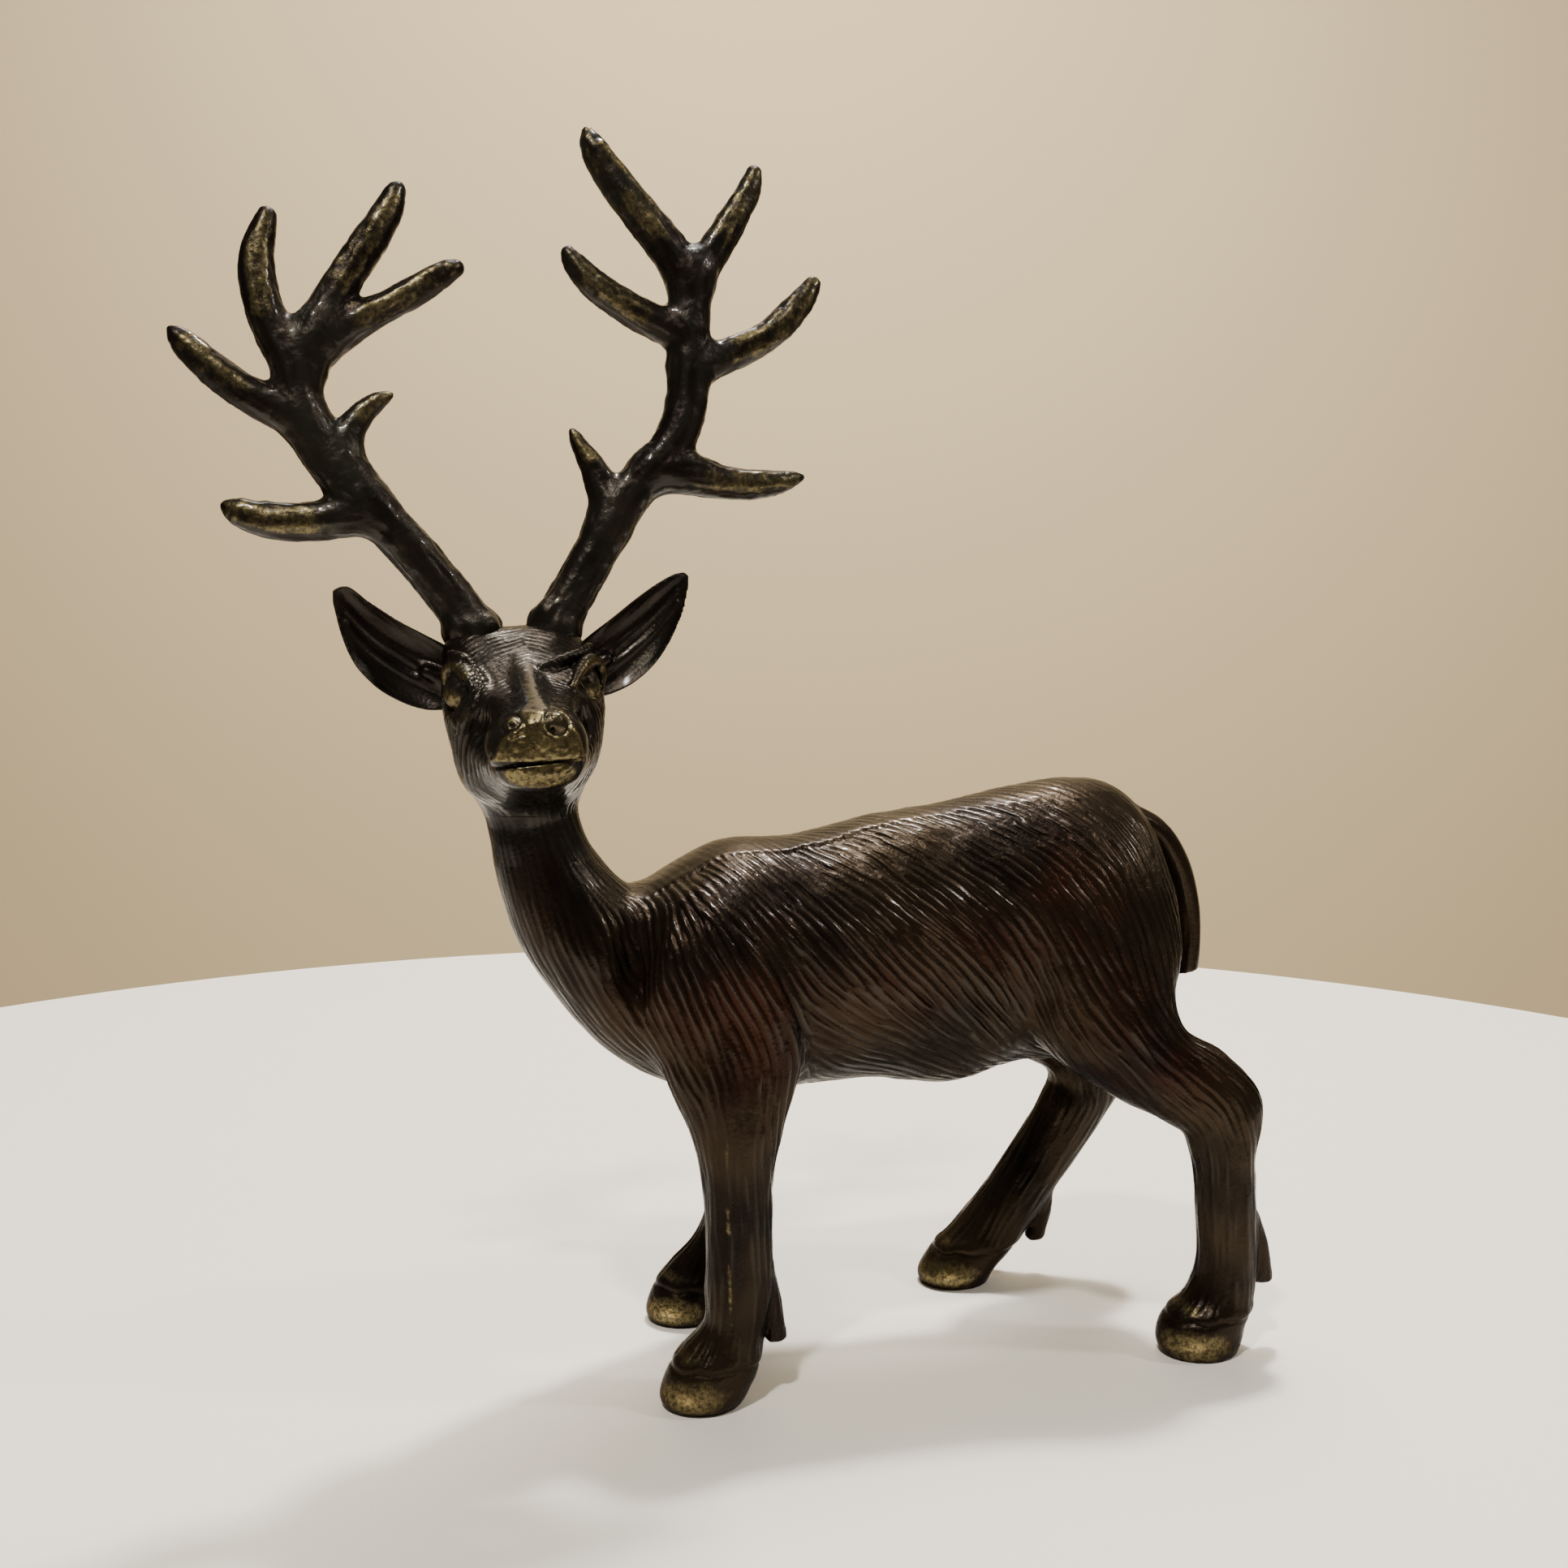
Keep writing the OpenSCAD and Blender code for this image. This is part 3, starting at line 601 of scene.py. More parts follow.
def rims(tris):
    """The open edges of a mesh as closed loops of points."""
    edges = np.vstack([tris[:, [0, 1]], tris[:, [1, 2]], tris[:, [2, 0]]]).astype(np.int64)
    big = edges.max() + 1
    open_edges = edges[~np.isin(edges[:, 0] * big + edges[:, 1], edges[:, 1] * big + edges[:, 0])]
    follow = dict(open_edges.tolist())
    loops = []
    while follow:
        first, at = next(iter(follow.items()))
        loop = [first]
        del follow[first]
        while at in follow:
            loop.append(at)
            at = follow.pop(at)
        loops.append(loop[::-1])
    return loops


def flat_rims(points, loop):
    """A rim that turns a corner at x = 0, as one flat loop on each side of the corner."""
    middle = np.abs(points[loop, 0]) < 1e-4
    if middle.all() or middle.sum() < 3:
        return [loop]
    start = next(i for i in range(len(loop)) if middle[i] and not middle[i - 1])
    loop = loop[start:] + loop[:start]
    count = int((np.abs(points[loop, 0]) < 1e-4).sum())
    return [loop[:count], loop[count - 1:] + loop[:1]]


# Values at each point. The first is painted light: a painted highlight paling the hair's crests, and painted
# shade in its grooves and low on the body.
VALUES = ("painted_groove_shading", "wear", "tint", "shade")


def piece(name, table, tris, nodes, material):
    """A closed object from rows of place, normal and values, with its cut ends capped."""
    used, index = np.unique(tris, return_inverse=True)
    table, tris = table[used], index.reshape(-1, 3)
    caps = [flat for loop in rims(tris) for flat in flat_rims(table, loop)]
    mesh = mesh_of(name, row(table[:, :3]), tris, caps)
    for k, value in enumerate(VALUES):
        mesh.attributes.new(value, "FLOAT", "POINT").data.foreach_set(
            "value", np.ascontiguousarray(table[:, 6 + k], np.float32))
    mesh.shade_smooth()
    normals = table[tris.ravel(), 3:6]
    flat = np.zeros(len(mesh.polygons) * 3, np.float32)
    mesh.polygons.foreach_get("normal", flat)
    flat = flat.reshape(-1, 3)[len(tris):]
    ends = [np.repeat(n[None], len(c), 0) for n, c in zip(flat, caps)]
    mesh.normals_split_custom_set(np.vstack([normals] + ends).astype(np.float32))
    mesh.materials.append(material)
    made = show(name, mesh)
    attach(made, "root")
    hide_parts(*nodes)


def row(points):
    """Points of the part's source in the frame, in metres."""
    return (points - ORIGIN) * MM


# ---------------------------------------------------------------- skin: body, neck and legs
NECK_PLANE = (np.array([0, -74.4, 111.9]), np.array([0, -0.4555, 0.8902]))
THROAT_PLANE = (np.array([0, -84.0, 135.6]), np.array([0, 0, 1.0]))
# The lip along the back: y, and its distance from the middle and its height
RIDGE = [(-60, 11), (-46, 10.5), (-33, 11), (-20, 10), (-6, 9), (8, 8), (23, 8.5), (39, 12),
         (59, 15), (70, 17)]
LIP = [(-60, 0.1), (-52, 0.4), (-45, 0.4), (-38, 0.2), (-28, 0.25), (-22, 0.5), (-5, 0.5), (3, 0.3),
       (12, 0.12), (30, 0.06), (66, 0.05), (75, 0)]
# Creases down the flank: y, z
SHOULDER = [(-44, 119), (-38.4, 111), (-31.7, 99.6), (-27.4, 90), (-25, 81.3), (-25, 70)]
THIGH = [(19.4, 118.3), (25.8, 106.4), (30.1, 90.5), (33, 76)]


def leg_plane(name):
    x, y, z, _, _, tilt = LEGS[name][LEG_CUT[name]]
    t = np.radians(tilt)
    return np.array([x, y, z]), np.array([0, -np.sin(t), np.cos(t)])


def leg_region(name, p):
    """True where a point could only belong to that leg."""
    beside = p[:, 0] > 8 if name.endswith("left") else p[:, 0] < -8
    ahead = p[:, 1] < 10 if name.startswith("front") else p[:, 1] > 10
    return beside & ahead & (p[:, 2] < 92)


def above(plane, p):
    return (p - plane[0]) @ plane[1]


def rounded_hair(h):
    """Broad ridges with narrower grooves between them."""
    return np.where(h > 0, 0.55 * np.tanh(1.1 * h), -np.minimum(np.abs(h), 2.2) ** 1.15 * 0.62)


def hair_depth(p, normal):
    y, z = p[:, 1], p[:, 2]
    depth = 0.36 + 0.05 * np.sin(y * 0.11 + z * 0.07)
    neck = above(NECK_PLANE, p)
    depth = depth + (0.13 - depth) * step01(neck, -14, 4)
    depth = depth * (1 - 0.35 * step01(-y, 84, 92) * step01(neck, 0, 8))
    depth = depth + (0.23 - depth) * step01(-z, -72, -48)
    front = step01(-y, 62, 80) * step01(-neck, 0, 12)
    depth = depth * (1 - 0.5 * front) * (1 - 0.55 * step01(-normal[:, 2], 0.35, 0.8))
    return depth * step01(z, 9.5, 13)


def body_pitch(x, y, z):
    """Distance from one ridge of hair to the next."""
    neck = step01(above(NECK_PLANE, np.stack([x, y, z], -1)), -10, 8)
    pitch = 2.3 + 0.25 * step01(y, 20, 50) - 0.25 * step01(z, 112, 126)
    pitch = pitch + (1.75 - pitch) * neck
    return pitch + (1.8 - pitch) * step01(-z, -72, -55)


def fold(y, z, line, width, ahead, behind):
    """A crease down the flank: raised or sunk by ahead before the line, and by behind after it."""
    best, gap = np.full(len(y), 1e9), np.zeros(len(y))
    for (ya, za), (yb, zb) in zip(line[:-1], line[1:]):
        dy, dz = yb - ya, zb - za
        t = np.clip(((y - ya) * dy + (z - za) * dz) / (dy * dy + dz * dz), 0, 1)
        ey, ez = y - ya - t * dy, z - za - t * dz
        far = np.hypot(ey, ez)
        gap = np.where(far < best, np.sign(ez * dy - ey * dz) * far, gap)
        best = np.minimum(far, best)
    side = 0.5 + 0.5 * np.tanh(gap / width)
    return (1 - side) * ahead * np.exp(-best / 6) + side * behind * np.exp(-best / 6)


def skin_bumps(p, normal, coarse):
    """The lip along the back, the top strip, the coronets and the muscles' edges."""
    x, y, z = p.T
    flank = step01(np.abs(x), 14, 22)
    muscles = fold(y, z, SHOULDER, 0.6, 0.8, -0.9) * flank * step01(-z, -116, -100) * step01(z, 70, 82)
    muscles += fold(y, z, THIGH, 2.0, -0.7, 0.5) * flank * step01(-z, -120, -108) * step01(z, 74, 84)
    back = step01(normal[:, 2], -0.1, 0.3) * step01(z, 106, 114) * step01(-above(NECK_PLANE, p), -2, 3)
    t = np.abs(x) - curve(y, RIDGE) + 0.5 * coarse
    height = curve(y, LIP)
    side = 0.5 + 0.5 * np.tanh(t / 0.55)
    lip = (1 - side) * np.exp(-np.abs(t) / 4) - 0.7 * side * np.exp(-np.abs(t) / 2.2)
    strip = back * step01(-t, -0.4, 0.6)
    line = z - 9.6 - 0.3 * np.sin(0.7 * y + 0.4 * x) - 0.4 * coarse
    coronet = 0.35 * np.exp(-((line - 1.5) / 1.6) ** 2) - 0.35 * np.exp(-(line / 0.5) ** 2)
    return back * height * lip + coronet * (z < 16) + muscles, strip


def body_hair(v):
    """The chased hair of the skin: its height and its grooves at any points, for a depth at each."""
    flow = flow_lattice(v, body_lay, 2)
    broad, thin = noise_lattice(v, 1.1, 7, 2), noise_lattice(v, 0.8, 11, 1)
    lines = Lines(v, body_lay, body_pitch, 3, 5)

    def at(points, depth):
        hair = comb(points, flow, broad, 8, 0.8)
        loose = np.maximum(step01(-points[:, 2], -72, -52), 0.8 * step01(above(NECK_PLANE, points), -6, 8))
        crest = (0.8 - 0.35 * loose) * ridges(lines, points, 0.5 * hair[:, 1])
        crest = crest + (0.3 + 0.45 * loose) * rounded_hair(hair[:, 0])
        return depth * crest + 0.25 * depth * np.tanh(comb(points, flow, thin, 4, 0.6)[:, 0]), crest

    return at


def skin_table(v, hair):
    points, quads = subdivided(*v.surface())
    normal = normals_of(points, quads)
    rough = noise_lattice(v, 5.0, 3, 1).at(points)[:, 0]
    bumps, strip = skin_bumps(points, normal, rough)
    depth = hair_depth(points, normal) * (1 - 0.75 * strip)
    height, crest = hair(points, depth)
    height = height + bumps + 0.12 * rough * step01(points[:, 2], 10, 30)
    points, tris, normal = raised(points, quads, normal, height)
    # Painted light: the crests get a painted highlight, and the grooves and the whole lower body and legs get
    # painted shade.
    painted_groove_shading = crest * step01(depth, 0.02, 0.2) - 0.35 * step01(-points[:, 2], -98, -66)
    cool = step01(points[:, 2], 104, 132) * step01(-points[:, 1], 60, 76)
    table = np.column_stack([points, normal, painted_groove_shading, skin_wear_and_highlight(points, rough), skin_tint(points), cool])
    return table, tris


def skin_wear_and_highlight(p, rough):
    """Where the patina is rubbed through: the hooves, and flecks down the near front leg. The peak low on the
    front of each hoof also carries a painted highlight, as brighter brass.
    """
    x, y, z = p.T
    made = np.zeros(len(p))
    for stations in LEGS.values():
        a, b, _, _, d, _ = stations[-2]
        side = ((np.abs(x - a) - 6) / 9) ** 2
        top = 0.55 * np.exp(-((y - b + d * 0.5) / 4) ** 2 - ((z - 12.5) / 1.6) ** 2 - side)
        # This peak of 1.1 low on the hoof front passes 0.85, where the brass is painted brighter as a
        # highlight.
        low = 1.1 * np.exp(-((y - b + d * 0.45) / (0.75 * d)) ** 2 - ((z - 4.2) / 3.6) ** 2 - side)
        made = np.maximum(made, np.maximum(top, low))
    flecks = 0.46 * np.exp(-((y + 43.2 + 0.02 * (z - 20)) / 0.6) ** 2) * step01(rough, -0.8, 0.6)
    return np.maximum(made, flecks * step01(x, 24, 27) * (z > 18) * (z < 66))


def skin_tint(p):
    """Where the patina is redder: blobs of y, z, their half sizes and strength."""
    y, z = p[:, 1], p[:, 2]
    blobs = ((-38, 90, 13, 20, 0.9), (-60, 92, 12, 10, 0.4), (14, 102, 22, 10, 0.6), (42, 115, 12, 11, 0.9),
             (52, 90, 14, 14, 0.5), (-84, 122, 6, 14, 0.4), (70, 72, 14, 7, 0.6), (-5, 90, 16, 9, 0.3))
    return np.clip(sum(k * np.exp(-((y - a) / c) ** 2 - ((z - b) / d) ** 2) for a, b, c, d, k in blobs), 0, 1)


def make_skin(material):
    """One skin, parted at the real joints. Its hair is returned for the head to carry on."""
    v = skin_volume()
    hair = body_hair(v)
    table, tris = skin_table(v, hair)
    table, tris = cut(table, tris, *NECK_PLANE, lambda p: (p[:, 1] < -50) & (p[:, 2] > 95))
    table, tris = cut(table, tris, *THROAT_PLANE, lambda p: (p[:, 1] < -60) & (p[:, 2] > 128))
    for name in LEGS:
        table, tris = cut(table, tris, *leg_plane(name), lambda p, name=name: leg_region(name, p))
    middle = table[tris, :3].mean(1)
    is_neck = (above(NECK_PLANE, middle) > 0) & (middle[:, 1] < -50)
    legs = {n: leg_region(n, middle) & (above(leg_plane(n), middle) < 0) for n in LEGS}
    is_body = ~(is_neck | sum(legs.values()).astype(bool))
    is_neck &= middle[:, 2] < THROAT_PLANE[0][2]
    piece("neck_skin", table, tris[is_neck], ["neck"], material)
    for name, mask in legs.items():
        piece(name + "_leg_skin", table, tris[mask], [name + "_leg"], material)
    table, tris = cut(table, tris[is_body], np.zeros(3), np.array([1.0, 0, 0]), lambda p: p[:, 0] < 1e9)
    table[np.abs(table[:, 0]) < 2e-5, 0] = 0
    side = table[tris, 0].mean(1) > 0
    piece("body_left_skin", table, tris[side], ["body_left_half"], material)
    piece("body_right_skin", table, tris[~side], ["body_right_half"], material)
    return hair


# ---------------------------------------------------------------- head
# Lines that the lids, brows, folds and bridge of the nose follow: x, y, z
RIGHT_LID = [(12.4, -104.5, 166.6), (12.9, -104.2, 168.7), (14.6, -103.0, 169.9), (17.8, -101.3, 169.0),
             (20.6, -100.0, 167.1), (22.7, -99.2, 164.8), (23.6, -99.1, 162.2)]
RIGHT_UNDER = [(23.1, -99.8, 160.1), (22.0, -100.9, 158.0), (20.0, -102.0, 157.2), (17.0, -103.4, 158.9)]
LEFT_LID = [(25.2, -76.4, 165.4), (22.3, -74.4, 168.7), (18.7, -71.8, 171.2), (15.6, -69.2, 170.4),
            (15.1, -68.4, 167.5), (16.3, -69.0, 165.0)]
LEFT_UNDER = [(16.8, -69.6, 163.4), (19.7, -71.3, 161.8), (23.4, -74.4, 161.8), (25.3, -76.4, 163.0)]
RIGHT_BROW = [(13.5, -102.4, 172.2), (16, -100.0, 171.3), (18.2, -98.0, 168.9), (21, -96.5, 166.0),
              (24, -95.6, 162.8)]
LEFT_BROW = [(12, -71.6, 174.0), (14, -73.2, 173.0), (16.2, -76.6, 172.0), (18, -80.0, 170.9),
             (19.5, -83.2, 169.9)]
RIGHT_FOLD = [(17.6, -100.0, 171.0), (20.6, -98.2, 168.4), (23.4, -97.4, 165.4)]
LEFT_FOLD = [(15, -75.2, 170.6), (18.4, -78.2, 169.4), (20.4, -81.0, 168.2)]
BRIDGE = [(13, -87.0, 169.4), (20, -86.6, 165.9), (28, -86.2, 161.9), (36, -85.9, 158.8), (42, -85.8, 156.6)]
# Each eye: its middle, upper lid, lower lid and the way it looks
EYES = [
    (np.array([15.9, -101.0, 163.6]), RIGHT_LID, RIGHT_UNDER, np.array([0.5, -0.85, 0.15])),
    (np.array([17.8, -73.5, 165.2]), LEFT_LID, LEFT_UNDER, np.array([0.62, 0.77, 0.1])),
]
EYE_R = 3.5
NOSTRILS = [((42.6, -91.7, 156.9), 1.9), ((44.0, -83.2, 157.6), 2.4)]
# The bare nose pad: z, and y at its two edges
PAD = [(148.6, -96.2, -77.2), (150, -96.2, -77.2), (154, -94.6, -78.0), (158, -91.2, -79.8),
       (160.4, -90.0, -81.0)]


def path(points, radii):
    s = smooth_rows(points, 5, 3)
    r = np.interp(np.linspace(0, 1, len(s)), np.linspace(0, 1, len(radii)), radii)
    return np.column_stack([s, r])


def add_eyes(v):
    for eye, lid, under, out in EYES:
        v.ball(eye + out * 2.4, (4.0, 2.8, 4.2), 1.5, carve=True)
        v.ball(eye, (EYE_R,) * 3, 0.3)
        v.ball(eye - out * 0.6 + (0, 0, 1.6), (3.6, 3.6, 3.6), 0.4)
        v.rod(path(np.array(lid) - out * 0.9, (0.9, 1.4, 1.6, 1.4, 1.1, 0.7)), 1.0)
        v.rod(path(np.array(under) - out * 0.5, (0.6, 1.0, 1.0, 0.5)), 0.8)


def add_brows(v):
    for brow in (RIGHT_BROW, LEFT_BROW):
        v.rod(path(brow, (1.3, 1.5, 1.3, 1.0, 0.5)), 1.6)
    for fold_line, radii in ((LEFT_FOLD, (0.2, 0.25, 0.1)), (RIGHT_FOLD, (0.3, 0.4, 0.2))):
        v.rod(path(fold_line, radii), 0.8, carve=True)


def add_nose(v):
    v.rod(path(BRIDGE, (2.8, 3.3, 3.7, 4.0, 3.8)), 2.0)
    v.ball((37.8, -86.8, 152.9), (7.6, 10.4, 7.6), 2.0)
    for (x, y, z), r in NOSTRILS:
        v.ball((x - 0.4, y, z), (r, r, r), 0.6)
    v.rod([(43.6, -92.1, 157.2, 0.5), (47, -92.8, 157.0, 0.5)], 0.3, carve=True)
    v.rod([(45.6, -84.0, 156.6, 0.5), (49, -84.6, 156.0, 0.5)], 0.4, carve=True)
    v.dent((38, -88, 150), (50, -76, 163), lambda x, y, z: 0.3 * ring_of(y, z, (-83.2, 157.6), 2.6, 0.4))
    v.dent((36, -97, 150), (50, -88, 162), lambda x, y, z: 0.2 * ring_of(y, z, (-91.7, 156.9), 2.2, 0.4))


def ring_of(y, z, centre, radius, width):
    gap = np.sqrt((y - centre[0]) ** 2 + (z - centre[1]) ** 2) - radius
    return np.exp(-(gap / width) ** 2)


def mouth_height(y):
    return 149.4 + 0.115 * (y + 87.5)


def add_mouth(v):
    v.ball((36.2, -86.2, 146.8), (7.6, 8.4, 3.6), 2.0)
    v.dent((26, -99, 144), (50, -73, 155), lambda x, y, z: 1.0 * np.exp(-((z - mouth_height(y)) / 0.32) ** 2)
           * step01(x, 32, 38) * (0.25 + 0.75 * step01(-np.abs(y + 86.5), -9, -4)))


def head_volume():
    v = Volume((-22, -112, 133), (52, -60, 187), HEAD_STEP)
    v.field = v.of_rings(spine_rings(TRUNK + NECK))
    v.add(v.of_rings(head_rings(HEAD)), 5)
    for y, z in ((-95.6, 173.4), (-80.0, 173.8)):
        v.ball((2.4, y, z), (8.0, 8.0, 6.0), 4)
    v.ball((0, -87.6, 172.6), (9, 8, 5.4), 3)
    v.ball((10, -95.6, 147.2), (9, 5, 6.5), 3)
    v.ball((30.5, -98.0, 157), (7, 3.2, 5), 3, carve=True)
    v.ball((30.5, -74.6, 157), (7, 3.0, 5), 3, carve=True)
    add_nose(v)
    add_mouth(v)
    add_brows(v)
    add_eyes(v)
    return v


def face_lay(x, y, z):
    """Hair fans out from the forehead, and runs back and down along the cheeks into the neck."""
    beside = np.where(y > HEAD_Y, 1.0, -1.0)
    brow = step01(z, 157, 166) * step01(-x, -30, -22)
    neck = step01(-z, -146, -140)
    fan = np.stack([np.full(x.shape, 0.25), beside, -0.75 + 0.35 * step01(z, 168, 174)], -1)
    cheek = np.stack([np.full(x.shape, -0.55), beside * 0.15, np.full(x.shape, -1.0)], -1)
    down = np.stack([np.zeros(x.shape), np.full(x.shape, 0.12), np.full(x.shape, -1.0)], -1)
    face = cheek + (fan - cheek) * brow[..., None]
    return face + (down - face) * neck[..., None]


def near_path(p, points, reach, soft):
    """One near a path of points, and nothing past reach and soft."""
    s = smooth_rows(points, 6, 3)
    gap = np.sqrt(((p[:, None, :3] - s[None, :, :3]) ** 2).sum(-1)).min(1)
    return 1 - step01(gap, reach, reach + soft)


def pad_mask(p):
    x, y, z = p.T
    inside = np.minimum(y - curve(z, PAD), np.interp(z, [k[0] for k in PAD], [k[2] for k in PAD]) - y)
    made = step01(inside, -0.3, 0.7) * step01(x, 35.5, 37.5) * step01(-z, -160.6, -159.6)
    made = made * step01(z, 149.4, 150.2)
    for (a, b, c), r in NOSTRILS:
        gap = np.sqrt((x - a) ** 2 + (y - b) ** 2 + (z - c) ** 2)
        knob = 0.5 * (1 - step01(gap, r - 0.2, r + 0.5))
        made = np.maximum(made * (0.3 + 0.7 * step01(gap, r + 0.3, r + 0.9)), knob)
    return made


def lip_mask(p):
    x, y, z = p.T
    oval = np.sqrt(((y + 86.6) / 8.0) ** 2 + ((z - 147.2) / 3.2) ** 2)
    slit = step01(np.abs(z - mouth_height(y)), 0.3, 0.7)
    return (1 - step01(oval, 0.75, 1.12)) * step01(x, 35, 38) * slit


def face_masks(p):
    """Where brass shows on the face, and how strongly it is chased. The eyeballs' brass is painted light:
    stronger on their lower part, and left darker under the upper lid as painted shade.
    """
    brass = np.maximum(pad_mask(p), lip_mask(p))
    eyes = np.zeros(len(p))
    for eye, lid, under, _ in EYES:
        near = np.linalg.norm(p - eye, axis=1) < 11
        q = p[near]
        lids = np.maximum(0.5 * near_path(q, lid[:5], 0.8, 0.9), 0.36 * near_path(q, under, 0.6, 0.6))
        ball = 1 - step01(np.linalg.norm(q - eye, axis=1), EYE_R + 0.4, EYE_R + 0.7)
        # low makes the lower part of each eyeball brighter brass as painted light, with its upper part under
        # the lid in painted shade.
        low = step01(eye[2] - q[:, 2] + 0.5 * (q[:, 1] - eye[1]) * np.sign(eye[1] + 86), -2.0, 1.0)
        eyes[near] = np.maximum(lids, ball * (0.15 + 0.4 * low))
    return brass, eyes


def make_head(material, neck_hair):
    v = head_volume()
    points, quads = v.surface()
    normal = normals_of(points, quads)
    flow = flow_lattice(v, face_lay, 4)
    hair = comb(points, flow, noise_lattice(v, 0.9, 23, 2), 5, 0.6)
    lines = Lines(v, face_lay, lambda x, y, z: 1.3 + 0.5 * step01(-z, -160, -150), 4, 17)
    pits = noise_lattice(v, 0.9, 29, 1).at(points)[:, 0]
    brass, eyes = face_masks(points)
    x, y, z = points.T
    smooth = np.maximum(brass, eyes)
    bridge = step01(-np.abs(y + 86.2), -4.6, -3.8) * step01(x, 16, 20) * step01(z, 156, 158)
    right = step01(x, 4, 10) * step01(-y, 84, 90)
    chin = step01(-z, -149, -145) * np.maximum(step01(x, 20, 27), right)
    cheek = step01(-y, 95, 99) * step01(-z, -160, -156)
    depth = (0.20 - 0.09 * step01(z, 160, 167) + 0.16 * cheek) * (1 - smooth) * (1 - bridge)
    depth = depth * (1 - 0.8 * chin) * step01(-x, -41, -36)
    crest = 0.75 * ridges(lines, points, 0.6 * hair[:, 1]) + 0.35 * rounded_hair(hair[:, 0])
    crest = crest - 0.35 * step01(z, 164, 170)
    neck = np.flatnonzero(z < 147)
    above_throat = step01(z[neck], 138, 147)
    height, low_crest = neck_hair(points[neck], hair_depth(points[neck], normal[neck]))
    relief = depth * crest
    relief[neck] = height + (relief[neck] - height) * above_throat
    crest[neck] = low_crest + (crest[neck] - low_crest) * above_throat
    depth[neck] = np.maximum(depth[neck], 0.15 * (1 - above_throat))
    relief = relief + 0.09 * brass * np.minimum(pits, 0.3) + 0.4 * pad_mask(points) + 0.03 * pits
    # Painted light: the crests get a painted highlight and the grooves painted shade, and the bridge of the
    # nose a painted highlight.
    painted_groove_shading = crest * step01(depth, 0.02, 0.15) + 0.45 * bridge
    wear, tint = np.maximum(brass * 0.85, eyes), 0.2 * step01(z, 136, 142)
    points, tris, normal = raised(points, quads, normal, relief)
    table = np.column_stack([points, normal, painted_groove_shading, wear, tint, np.ones(len(points))])
    lap = THROAT_PLANE[0] - (0, 0, 0.5)
    table, tris = cut(table, tris, lap, THROAT_PLANE[1], lambda p: p[:, 2] < 150)
    keep = table[tris, 2].mean(1) > lap[2]
    piece("head_skin", table, tris[keep], ["head"], material)


# ---------------------------------------------------------------- antlers
BURR_Z, LEAN, BASE_X = 181.5, -0.1, 2.0
LEFT_BRANCHES = [
    [(-81, 174.5, 5.8), (-77.2, 181.5, 5.6), (-72.2, 190, 5.2), (-66.8, 199.5, 5.2), (-61.8, 208, 5.2),
     (-56.7, 214.5, 5), (-50.3, 221.5, 5), (-46.3, 230, 5.1), (-44.9, 239.5, 5.1), (-44.5, 252, 5.1),
     (-43.8, 264.5, 5.1)],
    [(-44, 262.5, 4.9), (-49.9, 271, 4.8), (-56.5, 279, 4.5), (-62.7, 286.8, 4.1), (-67, 293.7, 3),
     (-68, 296.45, 1.5)],
    [(-43.5, 262.5, 4.6), (-36.7, 272.7, 4), (-32, 280.5, 3.6), (-28, 288.5, 2.5), (-27.5, 290.4, 2)],
    [(-46, 250, 4.4), (-54, 252.7, 4.2), (-62, 256.8, 3.8), (-68, 261, 3.5), (-72.5, 266, 2.4),
     (-73.2, 267.2, 1.9)],
    [(-45, 241.5, 4.6), (-35, 245.3, 4.1), (-26, 250, 3.6), (-19, 256.5, 3.6), (-14, 262.7, 2.5),
     (-13.3, 264.2, 2)],
    [(-54, 216.5, 5.2), (-45, 216, 5), (-37, 214.4, 4), (-27, 214.4, 3.4), (-19.5, 215.8, 1.8),
     (-17.5, 216.4, 0.9)],
    [(-65.5, 203, 4.8), (-65.2, 208.3, 4.3), (-66.8, 213.3, 3.7), (-69.7, 219, 2.7), (-72.2, 223.3, 1.7),
     (-73, 225, 1)],
]
RIGHT_BRANCHES = [
    [(-95, 173.5, 5.8), (-98, 180, 5.6), (-105.2, 189.8, 5.2), (-112.8, 199, 5.2), (-120.5, 207, 5.2),
     (-127.6, 215, 5.2), (-132.5, 224, 5.2), (-134.5, 232, 5.1), (-133.7, 239, 5), (-131, 245, 5)],
    [(-131, 243.5, 4.6), (-127.3, 252.2, 4.2), (-122, 261, 4.1), (-117, 269, 3.8), (-113.2, 276.5, 2.9),
     (-112.4, 278.7, 2.3)],
    [(-131, 241, 4.8), (-124, 246.5, 4.4), (-115.8, 251.5, 3.5), (-107.8, 256.4, 3.4), (-101, 261, 2.6),
     (-99.6, 261.8, 2.2)],
    [(-134, 236, 5), (-139, 243.5, 4.6), (-142.2, 252.5, 4.2), (-143, 261, 3.8), (-141.2, 268.8, 2.7),
     (-140.7, 270.6, 2.2)],
    [(-133, 224.5, 4.8), (-140, 227.8, 4.5), (-147.3, 231.6, 4), (-154, 236.8, 3.7), (-159.5, 242, 2.4),
     (-161, 243.6, 1.1)],
    [(-121.3, 209.5, 4.8), (-124, 216, 4.2), (-123.8, 222, 3.6), (-120.5, 227.2, 2.7), (-116, 230.8, 1.7),
     (-114.6, 231.5, 1)],
    [(-119, 205, 5.3), (-126, 203.3, 4.9), (-134, 202, 4.4), (-142.5, 202.4, 4), (-148.3, 204.2, 2.6),
     (-150, 205, 1.4)],
]


def branch_path(branch):
    s = smooth_rows(branch, 4, 2)
    return np.column_stack([BASE_X + LEAN * (s[:, 1] - BURR_Z), s[:, 0], s[:, 1], s[:, 2]])


